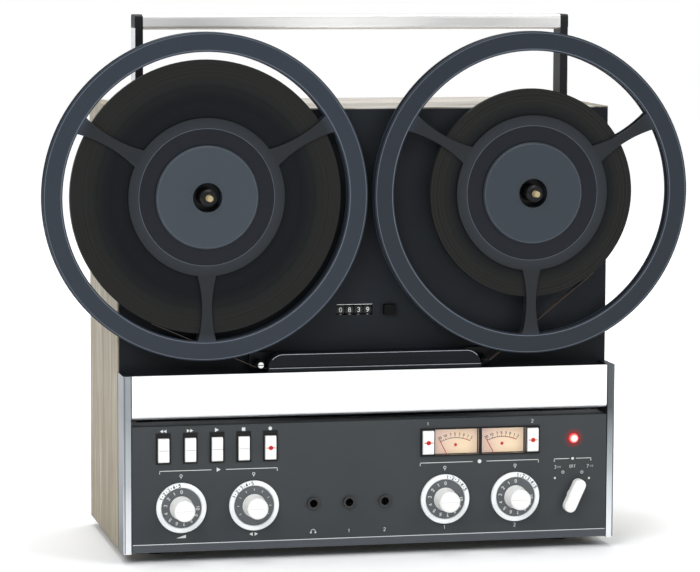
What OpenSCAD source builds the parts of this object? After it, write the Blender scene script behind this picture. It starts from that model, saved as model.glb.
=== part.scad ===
/* [Case] */
// Width over the wooden side boards
case_w = 413; // [406:1:425]
// Depth of the wooden case with the deck plate
case_d = 159; // [150:1:175]
// Height of the case above the reel axis
top_margin = 70.4; // [66:0.2:80]
// Thickness of the case boards
board_t = 12; // [10:0.5:14]
// Height of the rubber feet
foot_h = 8; // [5:0.5:14]
// Diameter of the rubber feet
foot_d = 18; // [12:1:24]
// Distance of the foot centres from the case edges
foot_in = 34.5; // [20:0.5:45]
// How far the back cover sits inside the case
rear_recess = 10; // [9:0.5:16]
// Thickness of the metal back cover
rear_t = 2; // [1:0.25:3]
// Gap between the bars of the cooling grille in the back cover
vent_w = 7; // [3:0.5:8]
// Height of the cooling grille
vent_h = 70; // [40:1:90]

/* [Deck] */
// Thickness of the black deck plate
deck_t = 2; // [1.5:0.25:3]
// Wood left showing beside and above the deck plate
deck_edge = 1; // [0.5:0.25:3]
// Thickness of the chassis plate behind the deck
chassis_t = 3; // [2:0.5:5]
// Depth of the chassis side cheeks
cheek_d = 30; // [20:1:40]

/* [Control section] */
// How far the control panel stands in front of the deck
panel_proud = 28; // [27:0.5:34]
// Height of the control panel
panel_h = 103; // [100:1:112]
// Gap between the case bottom and the control panel
panel_lift = 1; // [0.5:0.25:3]
// Sheet thickness of the control panel
panel_t = 1.6; // [1:0.2:2.4]
// Height of the bent strip along the panel's bottom
strip_h = 6.5; // [4:0.5:8]
// Width of the side trims, seen from the front
trim_w = 6.2; // [5:0.2:8]
// Gap between a side trim and the panel or flap
trim_gap = 0.8; // [0.4:0.1:1.5]
// Bevel on the outer front edge of the side trims
trim_bevel = 1.2; // [0.5:0.1:2]
// Height of the knob row above the panel's bottom edge
knob_row = 36.3; // [35:0.1:38]
// Distance of the key and meter row below the panel's top edge
key_row = 19.4; // [18:0.1:21]

/* [Flap] */
// Height of the front flap
flap_h = 36.2; // [34:0.2:42]
// Sheet thickness of the front flap
flap_t = 1.8; // [1.2:0.1:2.4]
// Gap between the control panel and the flap
flap_gap = 5.3; // [4:0.1:7]
// Radius of the roll along the flap's lower edge
roll_r = 5; // [4:0.1:5.2]
// Radius of the flap's hinge pins
flap_pin_r = 1.5; // [1:0.1:2]
// Depth of the flap's hinge pins in the side trims
flap_pin_len = 3.5; // [2:0.5:4.5]

/* [Reels] */
// Diameter of the reel flanges
reel_od = 266.7; // [262:0.1:268]
// Gap between the two reels
reel_gap = 5.8; // [3:0.1:10]
// Height of the reel's lower edge above the tape guides
reel_lift = 4.25; // [3:0.25:10]
// How far the front flanges stand in front of the deck
reel_proud = 17.9; // [17.5:0.1:20]
// Thickness of a reel flange
flange_t = 1.8; // [1.2:0.1:2.2]
// Gap between the flanges of a reel
flange_gap = 7.5; // [7.2:0.1:8]
// Width of the flange's rim
rim_w = 16.1; // [12:0.1:20]
// Radius of the reel's hub where the tape starts
hub_r = 57.15; // [52:0.1:60]
// Radius of the reel's central bore
reel_bore_r = 38.1; // [36:0.1:40]
// Width of the band of flange around the hub
hub_band = 7; // [4:0.5:12]
// Width of a flange spoke at its ends
spoke_w = 15; // [12:1:24]
// Width of a flange spoke at its waist
spoke_waist = 8; // [5:0.5:11]
// Radius of the tape wound on the left reel
left_pack_r = 111; // [70:1:113]
// Radius of the tape wound on the right reel
right_pack_r = 86; // [70:1:113]
// Turn of the left reel's first spoke from the right
left_spoke_a = 30; // [0:1:119]
// Turn of the right reel's first spoke from the right
right_spoke_a = 30; // [0:1:119]

/* [Hubs] */
// Radius of the hub adapter's front disc
adapter_r = 42; // [40:0.5:48]
// How far the hub adapter's disc stands in front of the flange
adapter_proud = 3; // [2:0.25:5]
// Radius of the hole through the hub adapter
adapter_hole_r = 12; // [9:0.5:14]
// Radius of the spindle post
post_r = 7; // [5:0.5:8]
// How far the spindle tip stands in front of the flange
post_proud = 16; // [12:0.5:18]
// Radius of the turning plate behind the reel
table_r = 50; // [44:1:56]
// Radius of the motor shaft of a reel
reel_shaft_r = 4; // [3:0.25:5]

/* [Tape path] */
// Distance of the tape guides from the head cover's sides
guide_gap = 4.5; // [4:0.1:8]
// Height of the tape guides above the flap's top edge
guide_rise = 5.5; // [5:0.1:7]
// Radius of the tape guides
guide_r = 3; // [2:0.1:3.2]
// Radius of the tape guides' flanges
guide_flange_r = 3.6; // [3.5:0.1:4.2]
// Width of the tape
tape_w = 6.25; // [6:0.05:6.5]
// Thickness of the tape's stand-in band
tape_t = 0.3; // [0.2:0.05:0.5]
// Radius of the capstan
capstan_r = 3.5; // [2.5:0.25:4]
// Distance of the capstan from the middle
capstan_x = 62; // [58:1:66]
// Radius of the pinch roller
pinch_r = 13; // [10:0.5:13.5]
// Angle by which the pinch arm stands open
pinch_open = 15; // [8:1:16]

/* [Head cover] */
// Distance of the head cover's middle from the deck's middle
cover_x = 3; // [0:0.5:6]
// How far the head cover stands in front of the deck
cover_proud = 24; // [23:0.25:25]
// Width of the head cover at its lower edge
cover_w = 181; // [176:1:184]
// Amount by which each side of the head cover leans in
cover_lean = 1; // [0.5:0.25:3]
// Radius of the head cover's upper corners
cover_round = 12; // [8:0.5:14]
// Height of the head cover above the flap's top edge
cover_rise = 14.5; // [14:0.25:16]
// Depth of the head cover below the flap's top edge
cover_drop = 3.5; // [2:0.25:5]
// Wall thickness of the head cover
cover_t = 2; // [1.5:0.25:2.5]

/* [Keys] */
// Distance between two transport keys
key_pitch = 22.04; // [20:0.02:24]
// Distance of the middle transport key from the panel's middle
keys_x = 129.97; // [126:0.01:134]
// Width of a key's face
key_w = 8.8; // [8:0.1:9.6]
// Height of a key's face
key_h = 19.5; // [18:0.1:21]
// How far a key stands in front of the panel
key_proud = 3.5; // [3.5:0.25:6]
// Travel of a key
key_travel = 3; // [2:0.25:4]
// Wall thickness of a key's socket
socket_t = 0.8; // [0.6:0.1:1.2]
// Width of the rim around a key's socket
socket_rim = 0.4; // [0.2:0.1:1]
// Height of a socket's frame above its key
socket_top = 2.6; // [1:0.1:3]

/* [Meters] */
// Left edge of the meter housing
meters_x = 40.2; // [39:0.1:42]
// Width of the meter housing
meters_w = 101.3; // [100:0.1:103]
// Height of the meter housing
meters_h = 23.2; // [22.6:0.1:25]
// Width of one meter's window
window_w = 37.2; // [35:0.1:38]
// Gap between the two meter windows
window_gap = 2.7; // [2:0.1:4]
// Frame outside a record-select key
select_edge = 1.5; // [1:0.1:2]
// Frame between a record-select key and a meter window
select_gap = 1.4; // [1:0.1:2]
// How far a record-select key stands in front of the panel
select_proud = 3.5; // [3.5:0.25:6]
// Frame above and below the meter windows
window_frame = 1; // [0.6:0.1:1.4]
// Depth of a meter behind its window
meter_depth = 5.5; // [4.5:0.25:8]
// Length of a meter's needle
needle_len = 29.5; // [26:0.5:30.5]
// Resting lean of the needle to the left
needle_rest = 28; // [22:1:30]

/* [Knobs] */
// How far the knobs stand in front of the panel
knob_proud = 20; // [17:0.5:24]
// Distance of the left knob pair's middle from the panel's middle
left_knobs_x = 129.5; // [126:0.5:133]
// Distance of the right knob pair's middle from the panel's middle
right_knobs_x = 90.95; // [88:0.05:94]
// Distance between the knobs of a pair
knob_pitch = 60; // [56:0.5:64]
// Radius of the ring around a knob
ring_r = 20.5; // [19:0.25:22]
// Width of the ring's white band
ring_band = 4; // [3:0.25:5]
// How far the ring stands in front of the panel
ring_proud = 3; // [2.5:0.25:4]
// Radius of the knob at its base
knob_r = 9.5; // [8.5:0.25:11]
// Draft of the knob towards its front
knob_draft = 1; // [0.5:0.1:2]
// Radius of a knob's shaft
knob_shaft_r = 3; // [2.5:0.25:3.5]
// Wall thickness of a ring's sleeve
sleeve_t = 2; // [1.2:0.1:2.5]

/* [Lamp, lever and jacks] */
// Distance of the power lever from the panel's middle
lever_x = 170.7; // [168:0.1:173]
// Length of the power lever
lever_len = 29; // [24:0.5:32]
// Width of the power lever
lever_w = 10; // [8:0.25:12]
// How far the power lever stands in front of the panel
lever_proud = 10; // [8:0.5:14]
// Resting lean of the power lever to the right
lever_lean = 24.5; // [15:0.5:30]
// Distance of the pilot lamp from the panel's middle
lamp_x = 171.2; // [168:0.1:173]
// Radius of the pilot lamp
lamp_r = 4; // [3:0.25:5]
// Place of the middle jack from the panel's middle
jacks_x = -19.9; // [-22:0.1:-18]
// Distance between two jacks
jack_pitch = 30; // [26:0.5:33]
// Radius of a jack's hole
jack_r = 3.25; // [3.2:0.05:3.4]
// Radius of a jack's nut
jack_nut_r = 5; // [5:0.25:7]
// Length of a jack's body behind the panel
jack_len = 24; // [18:1:28]

/* [Counter] */
// Place of the counter window's middle from the deck's middle
counter_x = -9.75; // [-12:0.25:-6]
// Width of the counter window
counter_w = 30.5; // [28:0.5:33]
// Height of the counter window
counter_h = 8.3; // [7:0.1:9]
// Height of the counter above the tape guides
counter_rise = 41.5; // [36:0.5:48]
// Radius of the counter wheels
wheel_r = 9; // [8:0.25:10]
// Distance of the reset button from the deck's middle
reset_x = 19.75; // [18:0.25:24]
// Width of the reset button
reset_w = 9.9; // [8:0.1:11]
// Travel of the reset button
reset_travel = 2; // [1.5:0.25:3]

/* [Handle] */
// Width over the handle's arms
handle_w = 369.2; // [366:0.2:372]
// Width of a handle arm
arm_w = 6.8; // [5:0.2:8]
// Depth of the handle, front to back
handle_d = 20.5; // [16:0.5:24]
// Thickness of the handle's bar
bar_h = 12.4; // [10:0.2:15]
// Height of the raised handle above the case
handle_rise = 75; // [66:1:80]
// Distance of the handle behind the deck
handle_y = 47.7; // [40:0.1:60]
// Length of the handle arms below the case top
arm_below = 27; // [20:1:40]

/* [Hidden] */
$fn = 64;
fit = 0.05;
slide_fit = 0.3;
seat = 0.1;
overlap = 1;
total_d = case_d + panel_proud + knob_proud;
front_y = -total_d / 2;
panel_y = front_y + knob_proud;
deck_y = panel_y + panel_proud;
wood_y = deck_y + deck_t;
chassis_y = wood_y + chassis_t;
rear_y = total_d / 2;
cover_y = rear_y - rear_recess;
side_x = case_w / 2;
inner_x = side_x - board_t;
panel_x = side_x - trim_w - trim_gap;
floor_z = foot_h + board_t;
panel_z0 = foot_h + panel_lift;
panel_z1 = panel_z0 + panel_h;
knob_z = panel_z0 + knob_row;
key_z = panel_z1 - key_row;
flap_z0 = panel_z1 + flap_gap;
flap_z1 = flap_z0 + flap_h;
roll_y = panel_y + roll_r;
roll_z = flap_z0 + roll_r;
guide_z = flap_z1 + guide_rise;
reel_x = (reel_od + reel_gap) / 2;
reel_r = reel_od / 2;
reel_z = guide_z + reel_r + reel_lift;
case_top = reel_z + top_margin;
inner_top = case_top - board_t;
flange_y = deck_y - reel_proud;
reel_back_y = flange_y + 2 * flange_t + flange_gap;
tape_y = flange_y + flange_t + flange_gap / 2;
left_guide_x = cover_w / 2 + guide_gap - cover_x;
right_guide_x = cover_w / 2 + guide_gap + cover_x;
guide_track = guide_r + tape_t / 2 + seat;
tape_z = guide_z - guide_track;

// A box between two corners
module box(lo, hi) {
    translate(lo) cube(hi - lo);
}

// A round rod along Y
module rod_y(x, z, r, y0, y1) {
    translate([x, y1, z]) rotate([90, 0, 0]) cylinder(h = y1 - y0, r = r);
}

// A flat outline in X and Z, given thickness along Y
module slab(y0, y1) {
    translate([0, y1, 0]) rotate([90, 0, 0]) linear_extrude(y1 - y0) children();
}

// A rectangle with round corners about a centre
module rounded(w, h, r) {
    square([w - 2 * r, h], center = true);
    square([w, h - 2 * r], center = true);
    for (sx = [-1, 1], sz = [-1, 1])
        translate([sx * (w / 2 - r), sz * (h / 2 - r)]) circle(r);
}

// A profile of radius and depth turned about an axis along Y, depth 0 at y0 and growing to the back
module turned_y(x, y0, z) {
    translate([x, y0, z]) rotate([-90, 0, 0]) rotate_extrude() children();
}

/* Case, chassis and deck */

handle_front = deck_y + handle_y;
arm_x = handle_w / 2 - arm_w;
conn_w = 190;
conn_h = 46;
conn_x = -60;
conn_rise = 50;
conn_z = floor_z + conn_rise;
phono_r = 4.2;
phono_hole_r = 1.6;
phono_len = 8;
phono_pitch = 20;
phono_off = 78;
phono_x = conn_x - phono_off;
inlet_off = 72;
inlet_x = conn_x + inlet_off;
inlet_w = 24;
inlet_h = 16;
inlet_d = 16;
inlet_wall = 2;
inlet_pin_r = 2;
inlet_pin_len = 10;
inlet_pin_off = 4.8;
vent_bar = 7;
vent_side = 50;
foot_edge = 1;

// Four boards with mitred corners; the top board has slots for the handle's arms
module wooden_case() {
    color("tan") {
        difference() {
            slab(wood_y, rear_y) polygon([[-side_x + seat, case_top], [side_x - seat, case_top],
                [inner_x - seat, inner_top], [-inner_x + seat, inner_top]]);
            for (s = [-1, 1])
                mirror([s < 0 ? 1 : 0, 0, 0])
                    box([arm_x - slide_fit, handle_front - slide_fit, inner_top - overlap],
                        [arm_x + arm_w + slide_fit, handle_front + handle_d + slide_fit, case_top + overlap]);
        }
        slab(wood_y, rear_y) polygon([[-side_x + seat, foot_h], [side_x - seat, foot_h],
            [inner_x - seat, floor_z], [-inner_x + seat, floor_z]]);
        for (s = [-1, 1])
            slab(wood_y, rear_y) polygon([[s * side_x, foot_h + seat], [s * side_x, case_top - seat],
                [s * inner_x, inner_top - seat], [s * inner_x, floor_z + seat]]);
    }
}

// Back cover: an upper sheet, a lower sheet with a window for the connector plate, and between them the
// upright bars of the cooling grille with a wide bar at each end
module rear_cover() {
    vent_pitch = vent_w + vent_bar;
    vent_n = floor((inner_x - vent_side) / vent_pitch);
    grille_x = vent_n * vent_pitch + vent_w / 2;
    grille_z = reel_z - vent_h;
    edge_x = inner_x - seat;
    color("dimgray") slab(cover_y - rear_t, cover_y) {
        translate([-edge_x, reel_z + seat]) square([2 * edge_x, inner_top - reel_z - 2 * seat]);
        difference() {
            translate([-edge_x, floor_z + seat]) square([2 * edge_x, grille_z - floor_z - 2 * seat]);
            translate([conn_x, conn_z]) square([conn_w + 2 * seat, conn_h + 2 * seat], center = true);
        }
        for (x = [-edge_x, grille_x])
            translate([x, grille_z]) square([edge_x - grille_x, vent_h]);
        for (i = [-vent_n : vent_n - 1])
            translate([(i + 0.5) * vent_pitch - vent_bar / 2, grille_z]) square([vent_bar, vent_h]);
    }
}

// Plate with two rows of phono sockets and a recessed two-pin mains inlet
module rear_connectors() {
    color("silver") difference() {
        union() {
            slab(cover_y - rear_t, cover_y) translate([conn_x, conn_z])
                square([conn_w, conn_h], center = true);
            for (i = [0 : 3], s = [-1, 1])
                rod_y(phono_x + i * phono_pitch, conn_z + s * phono_pitch / 2, phono_r,
                    cover_y - overlap, cover_y + phono_len);
            slab(cover_y - inlet_d - inlet_wall, cover_y + inlet_wall) translate([inlet_x, conn_z])
                square([inlet_w + 2 * inlet_wall, inlet_h + 2 * inlet_wall], center = true);
        }
        for (i = [0 : 3], s = [-1, 1])
            rod_y(phono_x + i * phono_pitch, conn_z + s * phono_pitch / 2, phono_hole_r,
                cover_y - overlap / 2, cover_y + phono_len + overlap);
        box([inlet_x - inlet_w / 2, cover_y - inlet_d, conn_z - inlet_h / 2],
            [inlet_x + inlet_w / 2, cover_y + inlet_wall + overlap, conn_z + inlet_h / 2]);
    }
    color("gold") for (s = [-1, 1])
        rod_y(inlet_x + s * inlet_pin_off, conn_z, inlet_pin_r,
            cover_y - inlet_d, cover_y - inlet_d + inlet_pin_len);
}

// Four turned rubber feet under the case
module feet() {
    color("black") for (s = [-1, 1], y = [wood_y + foot_in / 2, rear_y - foot_in / 2])
        translate([s * (side_x - foot_in), y, 0]) rotate_extrude()
            polygon([[0, 0], [foot_d / 2 - 2 * foot_edge, 0], [foot_d / 2 - foot_edge, foot_edge],
                [foot_d / 2, foot_h], [0, foot_h]]);
}

pinch_back = 38;
pinch_low = 22;
pinch_pivot_x = capstan_x - pinch_back;
pinch_pivot_z = tape_z - pinch_low;
pinch_pin_r = 3;
counter_z = guide_z + counter_rise;
reset_h = 8.4;
pulley_x = reset_x;
pulley_rise = 24;
pulley_z = counter_z + pulley_rise;
pulley_pin_r = 1.5;
frame_t = 1.5;
frame_x0 = counter_x - counter_w / 2 - frame_t - slide_fit;
frame_x1 = counter_x + counter_w / 2 + frame_t + slide_fit;
wheel_y = deck_y + deck_t * 0.75 + wheel_r;
frame_z0 = counter_z - wheel_r - slide_fit - frame_t;
frame_z1 = counter_z + wheel_r + slide_fit + frame_t;
deck_z0 = panel_z1 + trim_gap;
chassis_clear = 1.5;
deck_clear = 2;
capstan_z = tape_z + tape_t / 2 + slide_fit + capstan_r;

// Holes that go through both the deck plate and the chassis
module through_holes(clear) {
    for (s = [-1, 1])
        translate([s * reel_x, reel_z]) circle(reel_shaft_r + clear);
    translate([capstan_x, capstan_z]) circle(capstan_r + clear);
    translate([pinch_pivot_x, pinch_pivot_z]) circle(pinch_pin_r + fit);
    translate([reset_x, counter_z]) square([reset_w + 2 * slide_fit, reset_h + 2 * slide_fit], center = true);
}

// Pressed chassis: a plate behind the deck, two side cheeks and a foot rail
module chassis() {
    x1 = inner_x - seat;
    color("silver") difference() {
        union() {
            slab(wood_y, chassis_y) translate([0, (deck_z0 + inner_top - seat) / 2])
                square([2 * x1, inner_top - seat - deck_z0], center = true);
            for (s = [-1, 1])
                box([s * (x1 - chassis_t / 2) - chassis_t / 2, wood_y, floor_z + seat],
                    [s * (x1 - chassis_t / 2) + chassis_t / 2, wood_y + cheek_d, inner_top - seat]);
            box([-x1, wood_y, floor_z + seat], [x1, wood_y + cheek_d, floor_z + seat + chassis_t]);
        }
        slab(wood_y - overlap, chassis_y + overlap) {
            through_holes(chassis_clear);
            translate([(frame_x0 + frame_x1) / 2, counter_z])
                square([frame_x1 - frame_x0 + 2 * seat, frame_z1 - frame_z0 + 2 * seat], center = true);
            translate([pulley_x, pulley_z]) circle(pulley_pin_r + fit);
        }
    }
}

// Deck plate with the holes for the shafts, the counter and its button
module deck_plate() {
    deck_z1 = case_top - deck_edge;
    color([0.08, 0.08, 0.085]) slab(deck_y, wood_y) difference() {
        translate([0, (deck_z0 + deck_z1) / 2])
            square([2 * (side_x - deck_edge), deck_z1 - deck_z0], center = true);
        through_holes(deck_clear);
        translate([counter_x, counter_z]) square([counter_w, counter_h], center = true);
    }
}

/* Control section shell */

sleeve_r = knob_shaft_r + fit + sleeve_t;
knob_xs = [-left_knobs_x - knob_pitch / 2, -left_knobs_x + knob_pitch / 2,
    right_knobs_x - knob_pitch / 2, right_knobs_x + knob_pitch / 2];
key_xs = [for (i = [-2 : 2]) -keys_x + i * key_pitch];
jack_xs = [for (i = [-1 : 1]) jacks_x + i * jack_pitch];
lever_shaft_r = 3;
lamp_lip = 0.6;
lamp_body_r = lamp_r - lamp_lip;
jack_wall = 1.2;
jack_thread_r = jack_r + jack_wall;
panel_back = panel_y + panel_t;
socket_w = key_w + 2 * slide_fit + 2 * socket_t;
socket_h = key_h + 2 * slide_fit + 2 * socket_t;
meters_mid = meters_x + meters_w / 2;

// Cut-outs of the front sheet for all the controls
module control_holes() {
    for (x = key_xs)
        translate([x, key_z]) square([socket_w + 2 * seat, socket_h + 2 * seat], center = true);
    translate([meters_mid, key_z]) square([meters_w + 2 * seat, meters_h + 2 * seat], center = true);
    for (x = knob_xs)
        translate([x, knob_z]) circle(sleeve_r + fit);
    translate([lever_x, knob_z]) circle(lever_shaft_r + fit);
    translate([lamp_x, key_z]) circle(lamp_body_r + seat);
    for (x = jack_xs)
        translate([x, knob_z]) circle(jack_thread_r + seat);
}

// Front sheet with a groove above its bottom strip, on a frame of four strips
module control_panel() {
    y0 = panel_back + seat;
    color([0.2, 0.21, 0.2]) {
        difference() {
            box([-panel_x, panel_y, panel_z0], [panel_x, panel_back, panel_z1]);
            box([-panel_x - overlap, panel_y - overlap, panel_z0 + strip_h],
                [panel_x + overlap, panel_y + panel_t / 4, panel_z0 + strip_h + panel_t / 3]);
            slab(panel_y - overlap, panel_back + overlap) control_holes();
        }
        box([-panel_x, y0, panel_z0], [panel_x, wood_y, panel_z0 + panel_t]);
        box([-panel_x, y0, panel_z1 - panel_t], [panel_x, deck_y - seat, panel_z1]);
        for (s = [-1, 1])
            mirror([s < 0 ? 1 : 0, 0, 0])
                box([panel_x - panel_t, y0, panel_z0 + panel_t + seat],
                    [panel_x, deck_y - seat, panel_z1 - panel_t - seat]);
    }
}

// Side trims with a bevelled front edge and the bores of the flap's hinge pins
module side_trims() {
    x0 = panel_x + trim_gap;
    color([0.85, 0.85, 0.83]) for (s = [-1, 1])
        mirror([s < 0 ? 1 : 0, 0, 0]) difference() {
            translate([0, 0, foot_h]) linear_extrude(flap_z1 - foot_h)
                polygon([[x0, panel_y], [side_x - trim_bevel, panel_y], [side_x, panel_y + trim_bevel],
                    [side_x, deck_y], [x0, deck_y]]);
            translate([x0 - overlap, roll_y, roll_z]) rotate([0, 90, 0])
                cylinder(h = overlap + flap_pin_len + slide_fit, r = flap_pin_r + fit);
        }
}

// Flap: a flat sheet whose lower edge is rolled around the hinge line, with end plugs and pins
module front_flap() {
    plug_len = 4;
    color([0.9, 0.9, 0.88]) {
        translate([-panel_x, 0, 0]) rotate([90, 0, 90]) linear_extrude(2 * panel_x) {
            translate([panel_y, roll_z]) square([flap_t, flap_z1 - roll_z]);
            translate([roll_y, roll_z]) difference() {
                circle(roll_r);
                circle(roll_r - flap_t);
            }
        }
        for (s = [-1, 1])
            mirror([s < 0 ? 1 : 0, 0, 0]) translate([panel_x - plug_len, roll_y, roll_z]) rotate([0, 90, 0]) {
                cylinder(h = plug_len, r = roll_r - flap_t / 2);
                cylinder(h = plug_len + trim_gap + flap_pin_len, r = flap_pin_r);
            }
    }
}

/* Handle */

handle_top = case_top + handle_rise;
handle_round = 3;

// A rounded outline in Y and Z, given width along X
module bar_x(x0, x1, y0, y1, z0, z1, r) {
    translate([x0, 0, 0]) rotate([90, 0, 90]) linear_extrude(x1 - x0)
        translate([(y0 + y1) / 2, (z0 + z1) / 2]) rounded(y1 - y0, z1 - z0, r);
}

// Grip bar between the two arms
module handle_bar() {
    color([0.86, 0.84, 0.8])
        bar_x(-arm_x, arm_x, handle_front, handle_front + handle_d,
            handle_top - bar_h, handle_top, handle_round);
}

// Flat arms that slide in the top board, with stop lugs below it
module handle_arms() {
    color([0.06, 0.06, 0.06]) for (s = [-1, 1])
        mirror([s < 0 ? 1 : 0, 0, 0]) {
            bar_x(arm_x, arm_x + arm_w, handle_front, handle_front + handle_d,
                case_top - arm_below, handle_top, handle_round);
            box([arm_x, handle_front - handle_round, case_top - arm_below],
                [arm_x + arm_w, handle_front + handle_d + handle_round, inner_top - slide_fit]);
        }
}

/* Reels */

rim_chamfer = 0.5;
table_t = 4;
motor_gap = 8;
shaft_in = 40;
reel_shaft_end = chassis_y + motor_gap + shaft_in;
belt_w = 2.4;
belt_t = 1.4;
belt_off = 4;
belt_y = chassis_y + belt_off;
reel_groove_r = 11;
counter_groove_r = 9;
groove_lip = 2;

// Spoke with arc-shaped sides, wide at the hub and the rim and slim at its waist
module spoke() {
    r0 = hub_r + hub_band;
    r1 = reel_r - rim_w;
    length = r1 - r0;
    sink = (spoke_w - spoke_waist) / 2;
    arc_r = (length * length / 4 + sink * sink) / (2 * sink);
    difference() {
        translate([r0 - overlap, -spoke_w / 2]) square([length + 2 * overlap, spoke_w]);
        for (s = [-1, 1])
            translate([(r0 + r1) / 2, s * (spoke_waist / 2 + arc_r)]) circle(arc_r);
    }
}

// One flange at y0: a chamfered rim, three spokes and a band around the hub
module flange(x, y0, a) {
    r0 = reel_r - rim_w;
    turned_y(x, y0, reel_z) polygon([[r0, rim_chamfer], [r0 + rim_chamfer, 0], [reel_r - rim_chamfer, 0],
        [reel_r, rim_chamfer], [reel_r, flange_t - rim_chamfer], [reel_r - rim_chamfer, flange_t],
        [r0 + rim_chamfer, flange_t], [r0, flange_t - rim_chamfer]]);
    slab(y0, y0 + flange_t) translate([x, reel_z]) {
        for (i = [0 : 2])
            rotate(a + 120 * i) spoke();
        difference() {
            circle(hub_r + hub_band);
            circle(reel_bore_r);
        }
    }
}

// Spool: two flanges on a hub
module spool(x, a) {
    color([0.25, 0.27, 0.3]) {
        flange(x, flange_y, a);
        flange(x, reel_back_y - flange_t, a);
        slab(flange_y, reel_back_y) translate([x, reel_z]) difference() {
            circle(hub_r);
            circle(reel_bore_r);
        }
    }
}

// Wound tape: a flat ring whose faces step a little where the winding tension changed
module tape_pack(x, r) {
    step_depth = 0.15;
    step_w = 1.2;
    steps = 4;
    gap = (r - hub_r) / (steps + 1);
    color([0.16, 0.15, 0.15]) difference() {
        slab(tape_y - tape_w / 2, tape_y + tape_w / 2) translate([x, reel_z]) difference() {
            circle(r);
            circle(hub_r + seat);
        }
        for (i = [1 : steps], y = [tape_y - tape_w / 2 - step_depth, tape_y + tape_w / 2 - step_depth])
            slab(y, y + 2 * step_depth) translate([x, reel_z]) difference() {
                circle(hub_r + i * gap + step_w / 2);
                circle(hub_r + i * gap - step_w / 2);
            }
    }
}

// Hub adapter: a front disc with a soft edge and a sleeve that fills the spool's bore
module hub_adapter(x) {
    edge = adapter_proud / 3;
    sleeve_end = adapter_proud + reel_back_y - flange_y;
    color([0.3, 0.33, 0.36]) turned_y(x, flange_y - adapter_proud, reel_z)
        polygon([[adapter_hole_r, 0], [adapter_r - edge, 0], [adapter_r, edge], [adapter_r, adapter_proud],
            [reel_bore_r - seat, adapter_proud], [reel_bore_r - seat, sleeve_end],
            [adapter_hole_r, sleeve_end]]);
}

// Spindle: post with a slim tip, turning plate and motor shaft
module spindle(x) {
    tip_r = 2.5;
    tip_len = 7;
    neck = 1.5;
    post_len = post_proud + reel_back_y - flange_y;
    shaft_len = reel_shaft_end - reel_back_y;
    color([0.12, 0.12, 0.12]) turned_y(x, flange_y - post_proud, reel_z)
        polygon([[0, 0], [tip_r - tip_r / 4, 0], [tip_r, tip_r / 4], [tip_r, tip_len],
            [post_r - neck, tip_len], [post_r, tip_len + neck], [post_r, post_len],
            [table_r, post_len], [table_r, post_len + table_t], [reel_shaft_r, post_len + table_t],
            [reel_shaft_r, post_len + shaft_len], [0, post_len + shaft_len]]);
}

// Grooved drive collar about an axis along Y, centred on the belt
module belt_collar(x, z, groove_r, bore_r) {
    half = belt_w / 2 + slide_fit;
    lip = 0.8;
    turned_y(x, belt_y, z) polygon([[bore_r, -half - lip], [groove_r + groove_lip, -half - lip],
        [groove_r + groove_lip, -half], [groove_r, -half], [groove_r, half], [groove_r + groove_lip, half],
        [groove_r + groove_lip, half + lip], [bore_r, half + lip]]);
}

module left_spool() { spool(-reel_x, left_spoke_a); }
module right_spool() { spool(reel_x, right_spoke_a); }
module left_tape_pack() { tape_pack(-reel_x, left_pack_r); }
module right_tape_pack() { tape_pack(reel_x, right_pack_r); }
module left_hub_adapter() { hub_adapter(-reel_x); }
module right_hub_adapter() { hub_adapter(reel_x); }
module left_spindle() { spindle(-reel_x); }

// The right spindle also carries the collar that drives the counter's belt
module right_spindle() {
    spindle(reel_x);
    color([0.12, 0.12, 0.12]) belt_collar(reel_x, reel_z, reel_groove_r, reel_shaft_r - seat);
}

/* Heads and tape */

cover_z0 = flap_z1 - cover_drop;
cover_z1 = flap_z1 + cover_rise;
base_t = 4;
base_y = deck_y - base_t;
guide_xs = [-left_guide_x, right_guide_x];
head_pitch = 35;
heads_off = 13;
head_xs = [for (i = [-1 : 1]) cover_x - heads_off + i * head_pitch];
capstan_in = 6;
capstan_end = deck_y - cover_proud + capstan_in;
block_margin = 7;
block_round = 4;

// Front outline of the head cover, shrunk by a wall
module cover_outline(wall) {
    half0 = cover_w / 2 - wall;
    half1 = half0 - cover_lean;
    z1 = cover_z1 - wall;
    r = cover_round - wall;
    translate([cover_x, 0]) intersection() {
        translate([-cover_w, cover_z0]) square([2 * cover_w, z1 - cover_z0]);
        union() {
            polygon([[-half0, cover_z0], [half0, cover_z0], [half1, z1 - r],
                [half1 - r, z1], [r - half1, z1], [-half1, z1 - r]]);
            for (s = [-1, 1])
                translate([s * (half1 - r), z1 - r]) circle(r);
        }
    }
}

// Moulded head cover, open below, with a proud lower lip, a recessed band and slots for the tape in its sides
module head_cover() {
    front = deck_y - cover_proud;
    lip_h = 3.5;
    band_h = 6;
    lip_z = flap_z1 + lip_h;
    band_z = lip_z + band_h;
    lip_step = 1.2;
    groove = 1.2;
    tape_slot = 2;
    wall_y = front + cover_t + lip_step + groove;
    color([0.05, 0.05, 0.055]) difference() {
        slab(front, base_y) cover_outline(0);
        slab(wall_y, base_y + overlap) cover_outline(cover_t);
        box([-cover_w, wall_y, cover_z0 - overlap], [cover_w, base_y + overlap, cover_z0 + cover_t]);
        box([-cover_w, tape_y - tape_w / 2 - overlap, cover_z0 - overlap],
            [cover_w, base_y + overlap, tape_z + tape_slot]);
        box([-cover_w, front - overlap, lip_z], [cover_w, front + lip_step, cover_z1 + overlap]);
        box([-cover_w, front, lip_z], [cover_w, front + lip_step + groove, band_z]);
    }
}

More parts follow.
